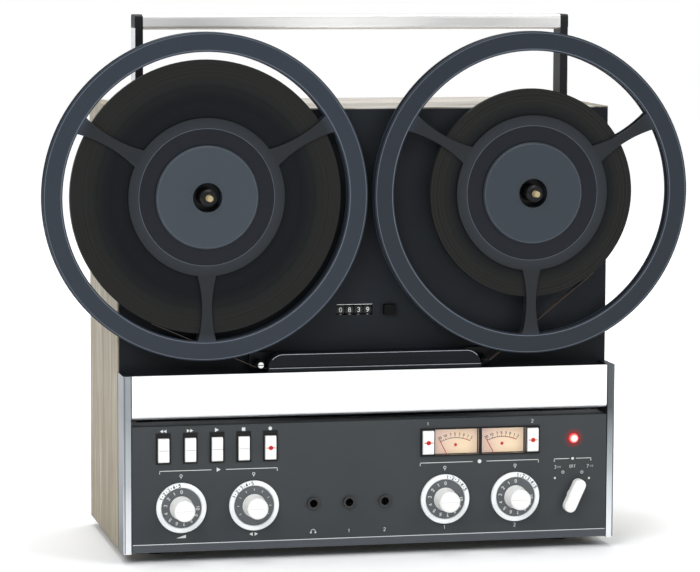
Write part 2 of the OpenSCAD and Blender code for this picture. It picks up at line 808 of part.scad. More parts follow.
// Base plate with the flanged tape guides at both ends, each held by a slotted screw
module head_block() {
    guide_end = 3;
    screw_r = guide_r * 0.8;
    slot_w = guide_r / 4;
    y0 = tape_y - tape_w / 2 - slide_fit;
    y1 = tape_y + tape_w / 2 + slide_fit;
    rim = 1;
    color([0.1, 0.1, 0.1]) difference() {
        slab(base_y, deck_y) translate([(right_guide_x - left_guide_x) / 2, (cover_z0 + cover_z1 - seat) / 2])
            rounded(left_guide_x + right_guide_x + 2 * block_margin, cover_z1 - cover_z0 - seat, block_round);
        rod_y(capstan_x, capstan_z, capstan_r + fit, base_y - overlap, deck_y + overlap);
    }
    color("silver") for (x = guide_xs)
        difference() {
            union() {
                rod_y(x, guide_z, screw_r, y0 - rim - guide_end, y0);
                rod_y(x, guide_z, guide_r, y0, base_y);
                rod_y(x, guide_z, guide_flange_r, y0 - rim, y0);
                rod_y(x, guide_z, guide_flange_r, y1, y1 + rim);
            }
            box([x - guide_r, y0 - rim - guide_end - overlap, guide_z - slot_w / 2],
                [x + guide_r, y0 - rim - guide_end + slot_w, guide_z + slot_w / 2]);
        }
}

// Three heads whose noses point down at the tape
module tape_heads() {
    head_w = 15;
    nose_r = 4;
    shoulder = 2;
    head_z0 = tape_z + tape_t / 2 + seat;
    head_z1 = cover_z1 - cover_t - slide_fit;
    nose_z = head_z0 + nose_r;
    color("silver") for (x = head_xs)
        slab(tape_y - tape_w / 2 - overlap, base_y) translate([x, 0]) {
            translate([0, nose_z]) circle(nose_r);
            polygon([[-nose_r, nose_z], [nose_r, nose_z], [head_w / 2, nose_z + shoulder],
                [head_w / 2, head_z1], [-head_w / 2, head_z1], [-head_w / 2, nose_z + shoulder]]);
        }
}

// Point on a circle
function on_circle(cx, cz, r, a) = [cx + r * cos(a), cz + r * sin(a)];

// Angle at which a straight tape touches both a pack on its outer side and a guide on its lower side
function run_angle(cx, r, gx, side) =
    let (dx = gx - cx, dz = guide_z - reel_z, d = norm([dx, dz]))
    atan2(dz, dx) + side * acos((r - guide_track) / d);

tape_gap = slide_fit + tape_t / 2;
left_a = run_angle(-reel_x, left_pack_r + tape_gap, -left_guide_x, -1);
right_a = run_angle(reel_x, right_pack_r + tape_gap, right_guide_x, 1);
arc_steps = 6;

// Middle line of the tape from the left pack, under both guides, to the right pack
tape_line = concat(
    [on_circle(-reel_x, reel_z, left_pack_r + tape_gap, left_a)],
    [for (i = [0 : arc_steps])
        on_circle(-left_guide_x, guide_z, guide_track, left_a - (left_a + 90) * i / arc_steps)],
    [for (i = [0 : arc_steps])
        on_circle(right_guide_x, guide_z, guide_track, -90 + (right_a + 90) * i / arc_steps)],
    [on_circle(reel_x, reel_z, right_pack_r + tape_gap, right_a)]);

// Direction square to a line of points at one of them
function side_way(line, i) =
    let (a = line[max(i - 1, 0)], b = line[min(i + 1, len(line) - 1)], d = (b - a) / norm(b - a))
    [-d[1], d[0]];

// Tape between the reels, as one thin band
module tape_run() {
    n = len(tape_line) - 1;
    color([0.2, 0.15, 0.12]) slab(tape_y - tape_w / 2, tape_y + tape_w / 2) polygon(concat(
        [for (i = [0 : n]) tape_line[i] + side_way(tape_line, i) * tape_t / 2],
        [for (i = [n : -1 : 0]) tape_line[i] - side_way(tape_line, i) * tape_t / 2]));
}

// Capstan shaft, with its outer end in front of the tape
module capstan() {
    color("silver") rod_y(capstan_x, capstan_z, capstan_r, capstan_end, reel_shaft_end);
}

pinch_arm_len = norm([capstan_x - pinch_pivot_x, tape_z - tape_t / 2 - slide_fit - pinch_r - pinch_pivot_z]);
pinch_closed_a = asin((tape_z - tape_t / 2 - slide_fit - pinch_r - pinch_pivot_z) / pinch_arm_len);
pinch_a = pinch_closed_a - pinch_open;
pinch_x = pinch_pivot_x + pinch_arm_len * cos(pinch_a);
pinch_z = pinch_pivot_z + pinch_arm_len * sin(pinch_a);
pinch_axle_r = 2.5;
roller_over = 1.4;
roller_w = tape_w + 2 * roller_over;
pinch_arm_t = 3;
pinch_arm_y = tape_y + roller_w / 2 + 2 * slide_fit;

// Swinging arm with its pivot pin in the deck and the roller's axle
module pinch_arm() {
    arm_r = 5.5;
    color("gray") {
        slab(pinch_arm_y, pinch_arm_y + pinch_arm_t)
            translate([pinch_pivot_x, pinch_pivot_z]) rotate(pinch_a) {
                circle(arm_r);
                translate([0, -arm_r]) square([pinch_arm_len, 2 * arm_r]);
                translate([pinch_arm_len, 0]) circle(arm_r);
            }
        rod_y(pinch_pivot_x, pinch_pivot_z, pinch_pin_r, pinch_arm_y, chassis_y);
        rod_y(pinch_x, pinch_z, pinch_axle_r, tape_y - roller_w / 2 - slide_fit, pinch_arm_y);
    }
}

// Rubber roller with a chamfered rim
module pinch_roller() {
    edge = 0.8;
    color([0.1, 0.1, 0.1]) turned_y(pinch_x, tape_y - roller_w / 2, pinch_z)
        polygon([[pinch_axle_r + fit, 0], [pinch_r - edge, 0], [pinch_r, edge], [pinch_r, roller_w - edge],
            [pinch_r - edge, roller_w], [pinch_axle_r + fit, roller_w]]);
}

/* Works inside the case */

reel_motor_r = 37;
capstan_motor_r = 40;
motor_len = 56;

// Motor on three pillars behind the chassis, with a blind bore for its shaft
module motor(x, z, r, shaft_r) {
    y0 = chassis_y + motor_gap;
    y1 = y0 + motor_len;
    pillar_r = 4;
    pillar_in = 10;
    bell = 4;
    difference() {
        union() {
            turned_y(x, y0, z) polygon([[0, 0], [r - bell, 0], [r, bell], [r, motor_len - bell],
                [r - bell, motor_len], [0, motor_len]]);
            for (a = [30, 150, 270])
                rod_y(x + (r - pillar_in) * cos(a), z + (r - pillar_in) * sin(a), pillar_r,
                    chassis_y, y0 + overlap);
        }
        rod_y(x, z, shaft_r + fit, y0 - overlap, reel_shaft_end + slide_fit);
    }
}

// Two reel motors and the capstan motor
module motors() {
    color([0.55, 0.56, 0.58]) {
        for (s = [-1, 1])
            motor(s * reel_x, reel_z, reel_motor_r, reel_shaft_r);
        motor(capstan_x, capstan_z, capstan_motor_r, capstan_r);
    }
}

core_w = 84;
core_d = 34;
core_h = 70;
core_x = -125;
core_y = 40;

// Mains transformer: a laminated frame around a wound bobbin
module power_transformer() {
    core = [core_w, core_d, core_h];
    limb = 14;
    mid = [core_x, core_y, floor_z];
    coil_d = 54;
    color("gray") difference() {
        box(mid - [core[0] / 2, core[1] / 2, 0], mid + [core[0] / 2, core[1] / 2, core[2]]);
        box(mid + [-core[0] / 2 + limb, -core[1], limb], mid + [core[0] / 2 - limb, core[1], core[2] - limb]);
    }
    color([0.6, 0.35, 0.15]) box(mid + [-core[0] / 2 + limb + seat, -coil_d / 2, limb],
        mid + [core[0] / 2 - limb - seat, coil_d / 2, core[2] - limb - seat]);
}

board_sheet = 1.6;
board_margin = 4;
control_board_y = panel_back + jack_len;
pot_r = 13;
pot_back = 2;
shaft_gap = 1;
card_pitch = 45;
card_h = 80;
card_d = 70;
card_gap = 6;
rail_h = 6;
rail_side = 4;

// Control board with four double potentiometers and the power switch, and three plug-in cards on a rail
module circuit_boards() {
    card_y0 = wood_y + cheek_d + card_gap;
    color([0.1, 0.3, 0.15]) slab(control_board_y, control_board_y + board_sheet) translate([0, knob_z])
        square([2 * min(lever_x + pot_r, panel_x - panel_t - board_margin), 2 * (pot_r + board_margin)],
            center = true);
    color("silver") {
        for (x = knob_xs)
            difference() {
                rod_y(x, knob_z, pot_r, panel_back, control_board_y);
                rod_y(x, knob_z, sleeve_r + fit, panel_back - overlap, panel_back + jack_len / 2 + slide_fit);
                rod_y(x, knob_z, knob_shaft_r + fit, panel_back, control_board_y - pot_back);
            }
        difference() {
            rod_y(lever_x, knob_z, pot_r, panel_back, control_board_y);
            rod_y(lever_x, knob_z, lever_shaft_r + fit, panel_back - overlap, control_board_y - pot_back);
        }
    }
    color([0.1, 0.3, 0.15]) for (x = [0, card_pitch, 2 * card_pitch]) {
        box([x, card_y0, floor_z + rail_h], [x + board_sheet, card_y0 + card_d, floor_z + rail_h + card_h]);
        box([x - rail_side, card_y0, floor_z],
            [x + board_sheet + rail_side, card_y0 + card_d, floor_z + rail_h]);
    }
}

/* Controls on the panel */

// Three jacks: nut in front, threaded neck through the panel, body behind it
module jack_sockets() {
    nut_t = 2;
    jack_end = 3;
    jack_flange = 1.5;
    bore_len = jack_len - jack_end;
    color([0.1, 0.1, 0.1]) for (x = jack_xs)
        difference() {
            union() {
                rod_y(x, knob_z, jack_nut_r, panel_y - nut_t, panel_y);
                rod_y(x, knob_z, jack_thread_r, panel_y - nut_t, panel_back + overlap);
                rod_y(x, knob_z, jack_nut_r + jack_flange, panel_back, control_board_y);
            }
            rod_y(x, knob_z, jack_r, panel_y - nut_t - overlap, panel_y - nut_t + bore_len);
        }
}

meters_proud = 1;
meter_y = panel_y - meters_proud;
window_t = 1;
dial_y = meter_y + meter_depth;
housing_depth = 18;
housing_end = panel_back + housing_depth;
select_w = (meters_w - 2 * window_w - window_gap) / 2 - select_edge - select_gap;
select_depth = 14;
window_xs = [for (s = [-1, 1]) meters_mid + s * (window_w + window_gap) / 2];
select_xs = [for (s = [-1, 1]) meters_mid + s * (meters_w / 2 - select_edge - select_w / 2)];
window_h = meters_h - 2 * window_frame;
needle_high = 4.5;
well_clear = 6;
needle_reach = min(needle_len, key_z + needle_high - knob_z - pot_r - well_clear);
needle_z = key_z + needle_high - needle_reach;
needle_pin_r = 0.8;
needle_pin_len = 7;
needle_lift = 2;
needle_w = 0.6;
needle_boss_r = 1.4;
well_wall = 1.5;
well_half = max(0, tan(needle_rest) * (key_z - window_h / 2 - needle_z)) + needle_boss_r + needle_w;
well_z0 = needle_z - needle_boss_r - well_wall;

// Housing with two meter pockets, a well below each for the needle's pivot, and two key shafts;
// a rim behind the panel holds it
module meter_housing() {
    rim = 2;
    color([0.06, 0.06, 0.06]) difference() {
        union() {
            slab(meter_y, housing_end) translate([meters_mid, key_z])
                square([meters_w, meters_h], center = true);
            slab(panel_back, panel_back + rim) translate([meters_mid, key_z])
                square([meters_w + 2 * rim, meters_h + 2 * rim], center = true);
            for (x = window_xs)
                box([x - well_half - well_wall, panel_back, well_z0 - well_wall],
                    [x + well_half + well_wall, housing_end, key_z]);
        }
        slab(meter_y - overlap, dial_y) for (x = window_xs)
            translate([x, key_z]) square([window_w, window_h], center = true);
        for (x = window_xs)
            box([x - well_half, panel_back - overlap, well_z0], [x + well_half, dial_y, key_z]);
        slab(meter_y - overlap, housing_end + overlap) for (x = select_xs)
            translate([x, key_z]) square([select_w + 2 * slide_fit, key_h + 2 * slide_fit], center = true);
        for (x = window_xs)
            rod_y(x, needle_z, needle_pin_r + fit, dial_y - overlap, dial_y + needle_pin_len + overlap);
    }
}

// Clear panes at the front of the meter pockets
module meter_windows() {
    color([0.9, 0.9, 0.85, 0.3]) slab(meter_y + seat, meter_y + seat + window_t) for (x = window_xs)
        translate([x, key_z]) square([window_w - 2 * seat, window_h - 2 * seat], center = true);
}

// Needle with its staff, at rest on the left
module needle(x) {
    y0 = dial_y - needle_lift;
    y1 = y0 + needle_w;
    color("red") {
        translate([x, 0, needle_z]) rotate([0, -needle_rest, 0])
            box([-needle_w / 2, y0, 0], [needle_w / 2, y1, needle_reach]);
        rod_y(x, needle_z, needle_boss_r, y0, y1);
        rod_y(x, needle_z, needle_pin_r, y0, dial_y + needle_pin_len);
    }
}

module left_needle() { needle(window_xs[0]); }
module right_needle() { needle(window_xs[1]); }

// Key with rounded front edges and a groove across its middle
module key(x, w, proud, depth) {
    round = 1.5;
    groove = 0.8;
    y0 = panel_y - proud;
    y1 = panel_y + depth;
    color([0.93, 0.93, 0.9]) difference() {
        translate([x - w / 2, 0, key_z]) rotate([90, 0, 90]) linear_extrude(w) {
            translate([y0 + round, -key_h / 2]) square([y1 - y0 - round, key_h]);
            translate([y0, -key_h / 2 + round]) square([2 * round, key_h - 2 * round]);
            for (s = [-1, 1])
                translate([y0 + round, s * (key_h / 2 - round)]) circle(round);
        }
        box([x - w, y0 - overlap, key_z - groove / 2], [x + w, y0 + groove / 2, key_z + groove / 2]);
    }
}

module left_record_select() { key(select_xs[0], select_w, select_proud, select_depth); }
module right_record_select() { key(select_xs[1], select_w, select_proud, select_depth); }

key_depth = 11;
module rewind_key() { key(key_xs[0], key_w, key_proud, key_depth); }
module forward_key() { key(key_xs[1], key_w, key_proud, key_depth); }
module play_key() { key(key_xs[2], key_w, key_proud, key_depth); }
module stop_key() { key(key_xs[3], key_w, key_proud, key_depth); }
module record_key() { key(key_xs[4], key_w, key_proud, key_depth); }

// Five sockets that guide the keys, each with a rim on the panel's face that is taller above its key
module key_sockets() {
    rim_t = 0.6;
    rim = seat + socket_rim;
    color([0.05, 0.05, 0.05]) for (x = key_xs)
        difference() {
            union() {
                slab(panel_y - rim_t, panel_y) translate([x, key_z + socket_top / 2])
                    square([socket_w + 2 * rim, socket_h + 2 * rim + socket_top], center = true);
                slab(panel_y - rim_t, panel_y + key_depth + key_travel) translate([x, key_z])
                    square([socket_w, socket_h], center = true);
            }
            slab(panel_y - overlap, panel_y + key_depth + key_travel + overlap) translate([x, key_z])
                square([key_w + 2 * slide_fit, key_h + 2 * slide_fit], center = true);
        }
}

// Pilot lamp: a domed lens on a stem through the panel
module pilot_lamp() {
    dome = 3;
    stem = 16;
    color("red") turned_y(lamp_x, panel_y - dome, key_z)
        polygon(concat([for (i = [0 : 6]) [lamp_r * sin(15 * i), dome * (1 - cos(15 * i))]],
            [[lamp_body_r, dome], [lamp_body_r, dome + stem], [0, dome + stem]]));
}

// Power lever: a rounded bar on a round foot, with its shaft in the switch
module power_lever() {
    foot_r = lever_w / 2 - seat;
    foot_t = 2;
    step = 1;
    y0 = panel_y - lever_proud;
    y1 = panel_y - slide_fit;
    color([0.93, 0.93, 0.9]) {
        translate([lever_x, 0, knob_z]) rotate([0, lever_lean, 0]) {
            slab(y0 + step, y1 - foot_t) rounded(lever_w, lever_len, lever_w / 2 - seat);
            slab(y0, y0 + step) rounded(lever_w - 2 * step, lever_len - 2 * step, lever_w / 2 - step - seat);
        }
        rod_y(lever_x, knob_z, foot_r, y1 - foot_t, y1);
        rod_y(lever_x, knob_z, lever_shaft_r, y1, control_board_y - pot_back - shaft_gap);
    }
}

ring_in = ring_r - ring_band;
ring_floor = 1;
ring_depth = ring_proud - slide_fit;

// Ring: a raised white band, a floor and a sleeve through the panel
module ring(x) {
    edge = 0.6;
    sleeve_end = ring_proud + panel_t + jack_len / 2;
    sleeve_in = knob_shaft_r + fit;
    color([0.93, 0.93, 0.9]) turned_y(x, panel_y - ring_proud, knob_z)
        polygon([[sleeve_in, ring_depth - ring_floor], [ring_in, ring_depth - ring_floor], [ring_in, edge],
            [ring_in + edge, 0], [ring_r - edge, 0], [ring_r, edge], [ring_r, ring_depth],
            [sleeve_r, ring_depth], [sleeve_r, sleeve_end], [sleeve_in, sleeve_end]]);
}

// Knob: a drafted cap on a numbered dial, with its shaft inside the ring's sleeve
module knob(x) {
    cap_len = knob_proud - ring_proud;
    dial_r = ring_in - slide_fit;
    dial_front = cap_len + slide_fit;
    dial_back = cap_len + ring_depth - ring_floor - slide_fit;
    shaft_end = knob_proud + panel_t + jack_len - pot_back - 2 * shaft_gap;
    edge = 1;
    color([0.93, 0.93, 0.9]) turned_y(x, front_y, knob_z)
        polygon([[0, 0], [knob_r - knob_draft - edge, 0], [knob_r - knob_draft, edge], [knob_r, dial_front],
            [dial_r, dial_front], [dial_r, dial_back], [knob_shaft_r, dial_back], [knob_shaft_r, shaft_end],
            [0, shaft_end]]);
}

module volume_ring() { ring(knob_xs[0]); }
module balance_ring() { ring(knob_xs[1]); }
module left_level_ring() { ring(knob_xs[2]); }
module right_level_ring() { ring(knob_xs[3]); }
module volume_knob() { knob(knob_xs[0]); }
module balance_knob() { knob(knob_xs[1]); }
module left_level_knob() { knob(knob_xs[2]); }
module right_level_knob() { knob(knob_xs[3]); }

/* Tape counter */

axle_r = 1.5;
wheel_pitch = counter_w / 4;

// Bracket behind the deck with the axle of the number wheels
module counter_frame() {
    back = wheel_y + wheel_r + slide_fit;
    color([0.1, 0.1, 0.1]) {
        difference() {
            box([frame_x0, wood_y, frame_z0], [frame_x1, back + frame_t, frame_z1]);
            box([frame_x0 + frame_t, wood_y - overlap, frame_z0 + frame_t],
                [frame_x1 - frame_t, back, frame_z1 - frame_t]);
        }
        translate([frame_x0 + frame_t / 2, wheel_y, counter_z]) rotate([0, 90, 0])
            cylinder(h = frame_x1 - frame_x0 - frame_t, r = axle_r);
    }
}

// Number wheel on the axle
module counter_wheel(i) {
    gap = 0.5;
    edge = 0.3;
    width = wheel_pitch - gap;
    x0 = counter_x - counter_w / 2 + i * wheel_pitch + gap / 2;
    color([0.05, 0.05, 0.05]) translate([x0, wheel_y, counter_z]) rotate([0, 90, 0]) rotate_extrude()
        polygon([[axle_r + fit, 0], [wheel_r - edge, 0], [wheel_r, edge],
            [wheel_r, width - edge], [wheel_r - edge, width], [axle_r + fit, width]]);
}

module counter_wheel_1() { counter_wheel(0); }
module counter_wheel_2() { counter_wheel(1); }
module counter_wheel_3() { counter_wheel(2); }
module counter_wheel_4() { counter_wheel(3); }

// Reset button through the deck and the chassis
module counter_reset_button() {
    proud = 3.5;
    tail = 2;
    round = 1.2;
    color([0.05, 0.05, 0.05]) slab(deck_y - proud, chassis_y + tail) translate([reset_x, counter_z])
        rounded(reset_w, reset_h, round);
}

// Grooved pulley on a pin in the chassis
module counter_pulley() {
    color([0.3, 0.3, 0.3]) {
        belt_collar(pulley_x, pulley_z, counter_groove_r, pulley_pin_r - seat);
        rod_y(pulley_x, pulley_z, pulley_pin_r, wood_y + seat, belt_y + belt_w);
    }
}

// Points of a loop around the reel's collar and the counter's pulley, grown by the belt's thickness
function loop_points(grow) =
    let (r1 = reel_groove_r + seat + grow, r2 = counter_groove_r + seat + grow,
        way = [pulley_x - reel_x, pulley_z - reel_z], a0 = atan2(way[1], way[0]),
        a = acos((r1 - r2) / norm(way)), steps = 24)
    concat([for (i = [0 : steps]) on_circle(reel_x, reel_z, r1, a0 + a + (360 - 2 * a) * i / steps)],
        [for (i = [0 : steps]) on_circle(pulley_x, pulley_z, r2, a0 - a + 2 * a * i / steps)]);

// Belt from the right spindle to the counter's pulley
module counter_belt() {
    color([0.08, 0.08, 0.08]) slab(belt_y - belt_w / 2, belt_y + belt_w / 2) difference() {
        polygon(loop_points(belt_t));
        polygon(loop_points(0));
    }
}

wooden_case();
rear_cover();
rear_connectors();
feet();
chassis();
deck_plate();
control_panel();
side_trims();
front_flap();
handle_bar();
handle_arms();
left_spool();
left_tape_pack();
left_hub_adapter();
left_spindle();
right_spool();
right_tape_pack();
right_hub_adapter();
right_spindle();
head_cover();
head_block();
tape_heads();
tape_run();
capstan();
pinch_arm();
pinch_roller();
motors();
power_transformer();
circuit_boards();
jack_sockets();
meter_housing();
meter_windows();
left_needle();
right_needle();
left_record_select();
right_record_select();
pilot_lamp();
power_lever();
key_sockets();
rewind_key();
forward_key();
play_key();
stop_key();
record_key();
volume_ring();
balance_ring();
left_level_ring();
right_level_ring();
volume_knob();
balance_knob();
left_level_knob();
right_level_knob();
counter_frame();
counter_wheel_1();
counter_wheel_2();
counter_wheel_3();
counter_wheel_4();
counter_reset_button();
counter_pulley();
counter_belt();
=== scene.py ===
# %% [markdown]
# # A reel-to-reel tape recorder
# The machine stands upright: a veneered case, a black deck with two open reels, a bright flap and a dark
# panel of keys, meters and double knobs. Its solids come from the CAD frame. This lesson gives them their
# finishes and adds what is printed, lit or too fine for a solid.

# %% Load the frame
import math
import bpy
import numpy as np
from mathutils import Matrix, Vector


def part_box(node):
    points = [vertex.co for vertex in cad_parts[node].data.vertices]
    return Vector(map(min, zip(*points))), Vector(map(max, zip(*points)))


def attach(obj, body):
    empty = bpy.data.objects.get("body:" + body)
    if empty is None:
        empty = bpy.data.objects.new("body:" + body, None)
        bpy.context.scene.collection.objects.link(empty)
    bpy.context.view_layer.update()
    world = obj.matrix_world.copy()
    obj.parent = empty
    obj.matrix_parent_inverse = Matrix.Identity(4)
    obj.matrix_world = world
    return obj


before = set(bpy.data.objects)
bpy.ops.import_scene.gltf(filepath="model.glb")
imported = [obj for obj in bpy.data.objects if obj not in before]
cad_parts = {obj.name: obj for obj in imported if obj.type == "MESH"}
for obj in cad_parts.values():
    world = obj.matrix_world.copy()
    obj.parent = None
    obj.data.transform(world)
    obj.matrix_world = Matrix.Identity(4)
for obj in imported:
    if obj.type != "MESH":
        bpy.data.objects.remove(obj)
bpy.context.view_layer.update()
MM = 0.001


def add_object(name, data):
    """A new object in the scene."""
    thing = bpy.data.objects.new(name, data)
    bpy.context.scene.collection.objects.link(thing)
    return thing


# %% [markdown]
# The camera stands left of the middle and a little above the deck, as in the photograph. It could be aimed
# with a constraint, but a yaw, a pitch and a roll written out as three axes keep the exact framing.

# %% Camera
CAMERA_PLACE = Vector((-0.6001, -2.6803, 0.5134))
CAMERA_YAW = math.radians(12.595)
CAMERA_PITCH = math.radians(6.218)
CAMERA_ROLL = math.radians(0.258)
FOCAL_PIXELS = 3285.7
PHOTO_WIDTH = 700
SENSOR_WIDTH = 36.0


def camera_axes(yaw, pitch, roll):
    """Columns right, up and backwards of a camera that looks along +Y, after a yaw, a pitch and a roll."""
    ahead = Vector((math.sin(yaw) * math.cos(pitch), math.cos(yaw) * math.cos(pitch), -math.sin(pitch)))
    right = Vector((math.cos(yaw), -math.sin(yaw), 0))
    up = right.cross(ahead)
    tilted_right = right * math.cos(roll) + up * math.sin(roll)
    tilted_up = up * math.cos(roll) - right * math.sin(roll)
    return Matrix((tilted_right, tilted_up, -ahead)).transposed()


camera_data = bpy.data.cameras.new("camera")
camera_data.sensor_fit = "HORIZONTAL"
camera_data.sensor_width = SENSOR_WIDTH
camera_data.lens = FOCAL_PIXELS / PHOTO_WIDTH * SENSOR_WIDTH
camera = add_object("camera", camera_data)
camera_turn = camera_axes(CAMERA_YAW, CAMERA_PITCH, CAMERA_ROLL)
camera.matrix_world = Matrix.Translation(CAMERA_PLACE) @ camera_turn.to_4x4()
bpy.context.scene.camera = camera
print("lens:", round(camera_data.lens, 2), "mm")

# %% [markdown]
# Every new piece is worked out as arrays first. This helper puts such arrays into a mesh whose object sits
# at the origin, gives it a finish and lets it ride on a body of the frame.

# %% Mesh helper


def add_piece(name, points, faces, material, body):
    """Makes a mesh of points (n by 3, in metres) and faces (lists of indices), and lets it ride on a body."""
    mesh = bpy.data.meshes.new(name)
    mesh.from_pydata(np.asarray(points, float).tolist(), [], [list(map(int, f)) for f in faces])
    mesh.materials.append(material)
    mesh.update()
    piece = add_object(name, mesh)
    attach(piece, body)
    return piece


# %% [markdown]
# Paint, plastic and metal all show a fine grain and slow changes of tone. Both effects are node groups on
# Object coordinates, built once and placed in each finish with its own scale.

# %% Shared effects


def make_group(name, inputs, outputs):
    """A shader node group with inputs (labels and defaults, numbers or vectors) and float outputs."""
    tree = bpy.data.node_groups.new(name, "ShaderNodeTree")
    for label, default in inputs.items():
        kind = "NodeSocketVector" if isinstance(default, tuple) else "NodeSocketFloat"
        socket = tree.interface.new_socket(label, in_out="INPUT", socket_type=kind)
        socket.default_value = default
    for label in outputs:
        tree.interface.new_socket(label, in_out="OUTPUT", socket_type="NodeSocketFloat")
    return tree, tree.nodes.new("NodeGroupInput"), tree.nodes.new("NodeGroupOutput")


def noise_in(tree, vector, scale, detail):
    """A noise texture in a tree, fed with a vector, and a scale that is a socket or a number."""
    noise = tree.nodes.new("ShaderNodeTexNoise")
    noise.inputs["Detail"].default_value = detail
    tree.links.new(vector, noise.inputs["Vector"])
    if isinstance(scale, (int, float)):
        noise.inputs["Scale"].default_value = scale
    else:
        tree.links.new(scale, noise.inputs["Scale"])
    return noise.outputs["Fac"]


def object_place(tree):
    """The Object coordinates in a tree."""
    return tree.nodes.new("ShaderNodeTexCoord").outputs["Object"]


def vector_math(tree, operation, first, second=None):
    """A vector sum such as MULTIPLY or LENGTH in a tree; the second term is a socket or three numbers."""
    node = tree.nodes.new("ShaderNodeVectorMath")
    node.operation = operation
    tree.links.new(first, node.inputs[0])
    if isinstance(second, tuple):
        node.inputs[1].default_value = second
    elif second is not None:
        tree.links.new(second, node.inputs[1])
    return node.outputs["Value" if operation == "LENGTH" else "Vector"]


grain_group, g_in, g_out = make_group(
    "surface_grain", {"Grain Scale": 3000.0, "Tone Scale": 18.0}, ["Grain", "Tone"])
where = object_place(grain_group)
grain_group.links.new(noise_in(grain_group, where, g_in.outputs["Grain Scale"], 2.0), g_out.inputs["Grain"])
grain_group.links.new(noise_in(grain_group, where, g_in.outputs["Tone Scale"], 4.0), g_out.inputs["Tone"])

line_group, l_in, l_out = make_group("drawn_lines", {"Stretch": (4.0, 900.0, 900.0)}, ["Lines", "Tone"])
where = object_place(line_group)
scaled = vector_math(line_group, "MULTIPLY", where, l_in.outputs["Stretch"])
line_group.links.new(noise_in(line_group, scaled, 1.0, 3.0), l_out.inputs["Lines"])
line_group.links.new(noise_in(line_group, where, 9.0, 3.0), l_out.inputs["Tone"])

ring_group, r_in, r_out = make_group(
    "turned_rings", {"Axis": (0.0, 0.0, 0.0), "Ring Scale": 900.0}, ["Rings", "Radius"])
offset = vector_math(ring_group, "SUBTRACT", object_place(ring_group), r_in.outputs["Axis"])
away = vector_math(ring_group, "LENGTH", vector_math(ring_group, "MULTIPLY", offset, (1, 0, 1)))
along = ring_group.nodes.new("ShaderNodeCombineXYZ")
ring_group.links.new(away, along.inputs["X"])
rings = noise_in(ring_group, along.outputs[0], r_in.outputs["Ring Scale"], 5.0)
ring_group.links.new(rings, r_out.inputs["Rings"])
ring_group.links.new(away, r_out.inputs["Radius"])
print("groups:", [g.name for g in bpy.data.node_groups])

# %% [markdown]
# A finish starts from a Principled shader. These helpers set its plain values, and link the shared effects
# to the sockets that change over the surface: colour, roughness and bump.

# %% Finish helpers


def new_finish(name, color, roughness, metallic=0.0, specular=0.5, glow=0.0):
    """A material with plain values on its Principled shader."""
    material = bpy.data.materials.new(name)
    material.use_nodes = True
    values = {"Base Color": (*color, 1), "Roughness": roughness, "Metallic": metallic,
              "Specular IOR Level": specular, "Emission Strength": glow}
    for label, value in values.items():
        shader_of(material).inputs[label].default_value = value
    return material


def shader_of(material):
    """The Principled shader of a finish."""
    return material.node_tree.nodes["Principled BSDF"]


def feed(material, value, label):
    """Links a value to an input of a finish's shader."""
    material.node_tree.links.new(value, shader_of(material).inputs[label])


def place_group(material, group, **values):
    """Puts a node group into a material, with its own values."""
    node = material.node_tree.nodes.new("ShaderNodeGroup")
    node.node_tree = group
    for label, value in values.items():
        node.inputs[label.replace("_", " ")].default_value = value
    return node


def mix_colors(material, factor, first, second):
    """Mixes two colours, each a triple or a socket, by a factor from 0 to 1."""
    mix = material.node_tree.nodes.new("ShaderNodeMix")
    mix.data_type = "RGBA"
    material.node_tree.links.new(factor, mix.inputs[0])
    for socket, color in ((mix.inputs[6], first), (mix.inputs[7], second)):
        if isinstance(color, tuple):
            socket.default_value = (*color, 1)
        else:
            material.node_tree.links.new(color, socket)
    return mix.outputs[2]


def ramp(material, value, low, high, to_low=0.0, to_high=1.0):
    """Maps a value from the span low to high onto another span, held at its ends."""
    node = material.node_tree.nodes.new("ShaderNodeMapRange")
    settings = {"From Min": low, "From Max": high, "To Min": to_low, "To Max": to_high}
    for label, number in settings.items():
        node.inputs[label].default_value = number
    material.node_tree.links.new(value, node.inputs["Value"])
    return node.outputs["Result"]


HAIR = 0.1 * MM


def beyond(material, value, limit):
    """1 where a value lies past a limit and 0 before it, parted over a tenth of a millimetre."""
    return ramp(material, value, limit, limit + HAIR)


def up_to(material, value, limit):
    """1 where a value lies before a limit and 0 past it, parted over a tenth of a millimetre."""
    return ramp(material, value, limit, limit + HAIR, 1.0, 0.0)


def add_bump(material, height, strength, distance):
    """Lets a height between 0 and 1 roughen the surface by a distance in metres."""
    bump = material.node_tree.nodes.new("ShaderNodeBump")
    bump.inputs["Strength"].default_value = strength
    bump.inputs["Distance"].default_value = distance
    material.node_tree.links.new(height, bump.inputs["Height"])
    feed(material, bump.outputs["Normal"], "Normal")


def shade(color, factor):
    """A colour made darker or lighter by a factor."""
    return tuple(min(1.0, channel * factor) for channel in color)


NOISE_SPAN = (0.3, 0.7)


def vary(material, tone, spread, gloss, swing):
    """Lets one effect change a finish's colour by a share, and another effect its roughness."""
    inputs = shader_of(material).inputs
    color = tuple(inputs["Base Color"].default_value)[:3]
    rough = inputs["Roughness"].default_value
    share = ramp(material, tone, *NOISE_SPAN)
    toned = mix_colors(material, share, shade(color, 1 - spread), shade(color, 1 + spread))
    feed(material, toned, "Base Color")
    feed(material, ramp(material, gloss, *NOISE_SPAN, rough * (1 - swing), rough * (1 + swing)), "Roughness")


def grained(name, color, roughness, spread=0.12, grain=2600.0, tone=16.0, bump=0.2, **plain):
    """A moulded or painted finish: slow changes of tone, and a fine grain as bump."""
    material = new_finish(name, color, roughness, **plain)
    effect = place_group(material, grain_group, Grain_Scale=grain, Tone_Scale=tone)
    vary(material, effect.outputs["Tone"], spread, effect.outputs["Tone"], 0.12)
    add_bump(material, effect.outputs["Grain"], bump, 0.00006)
    return material


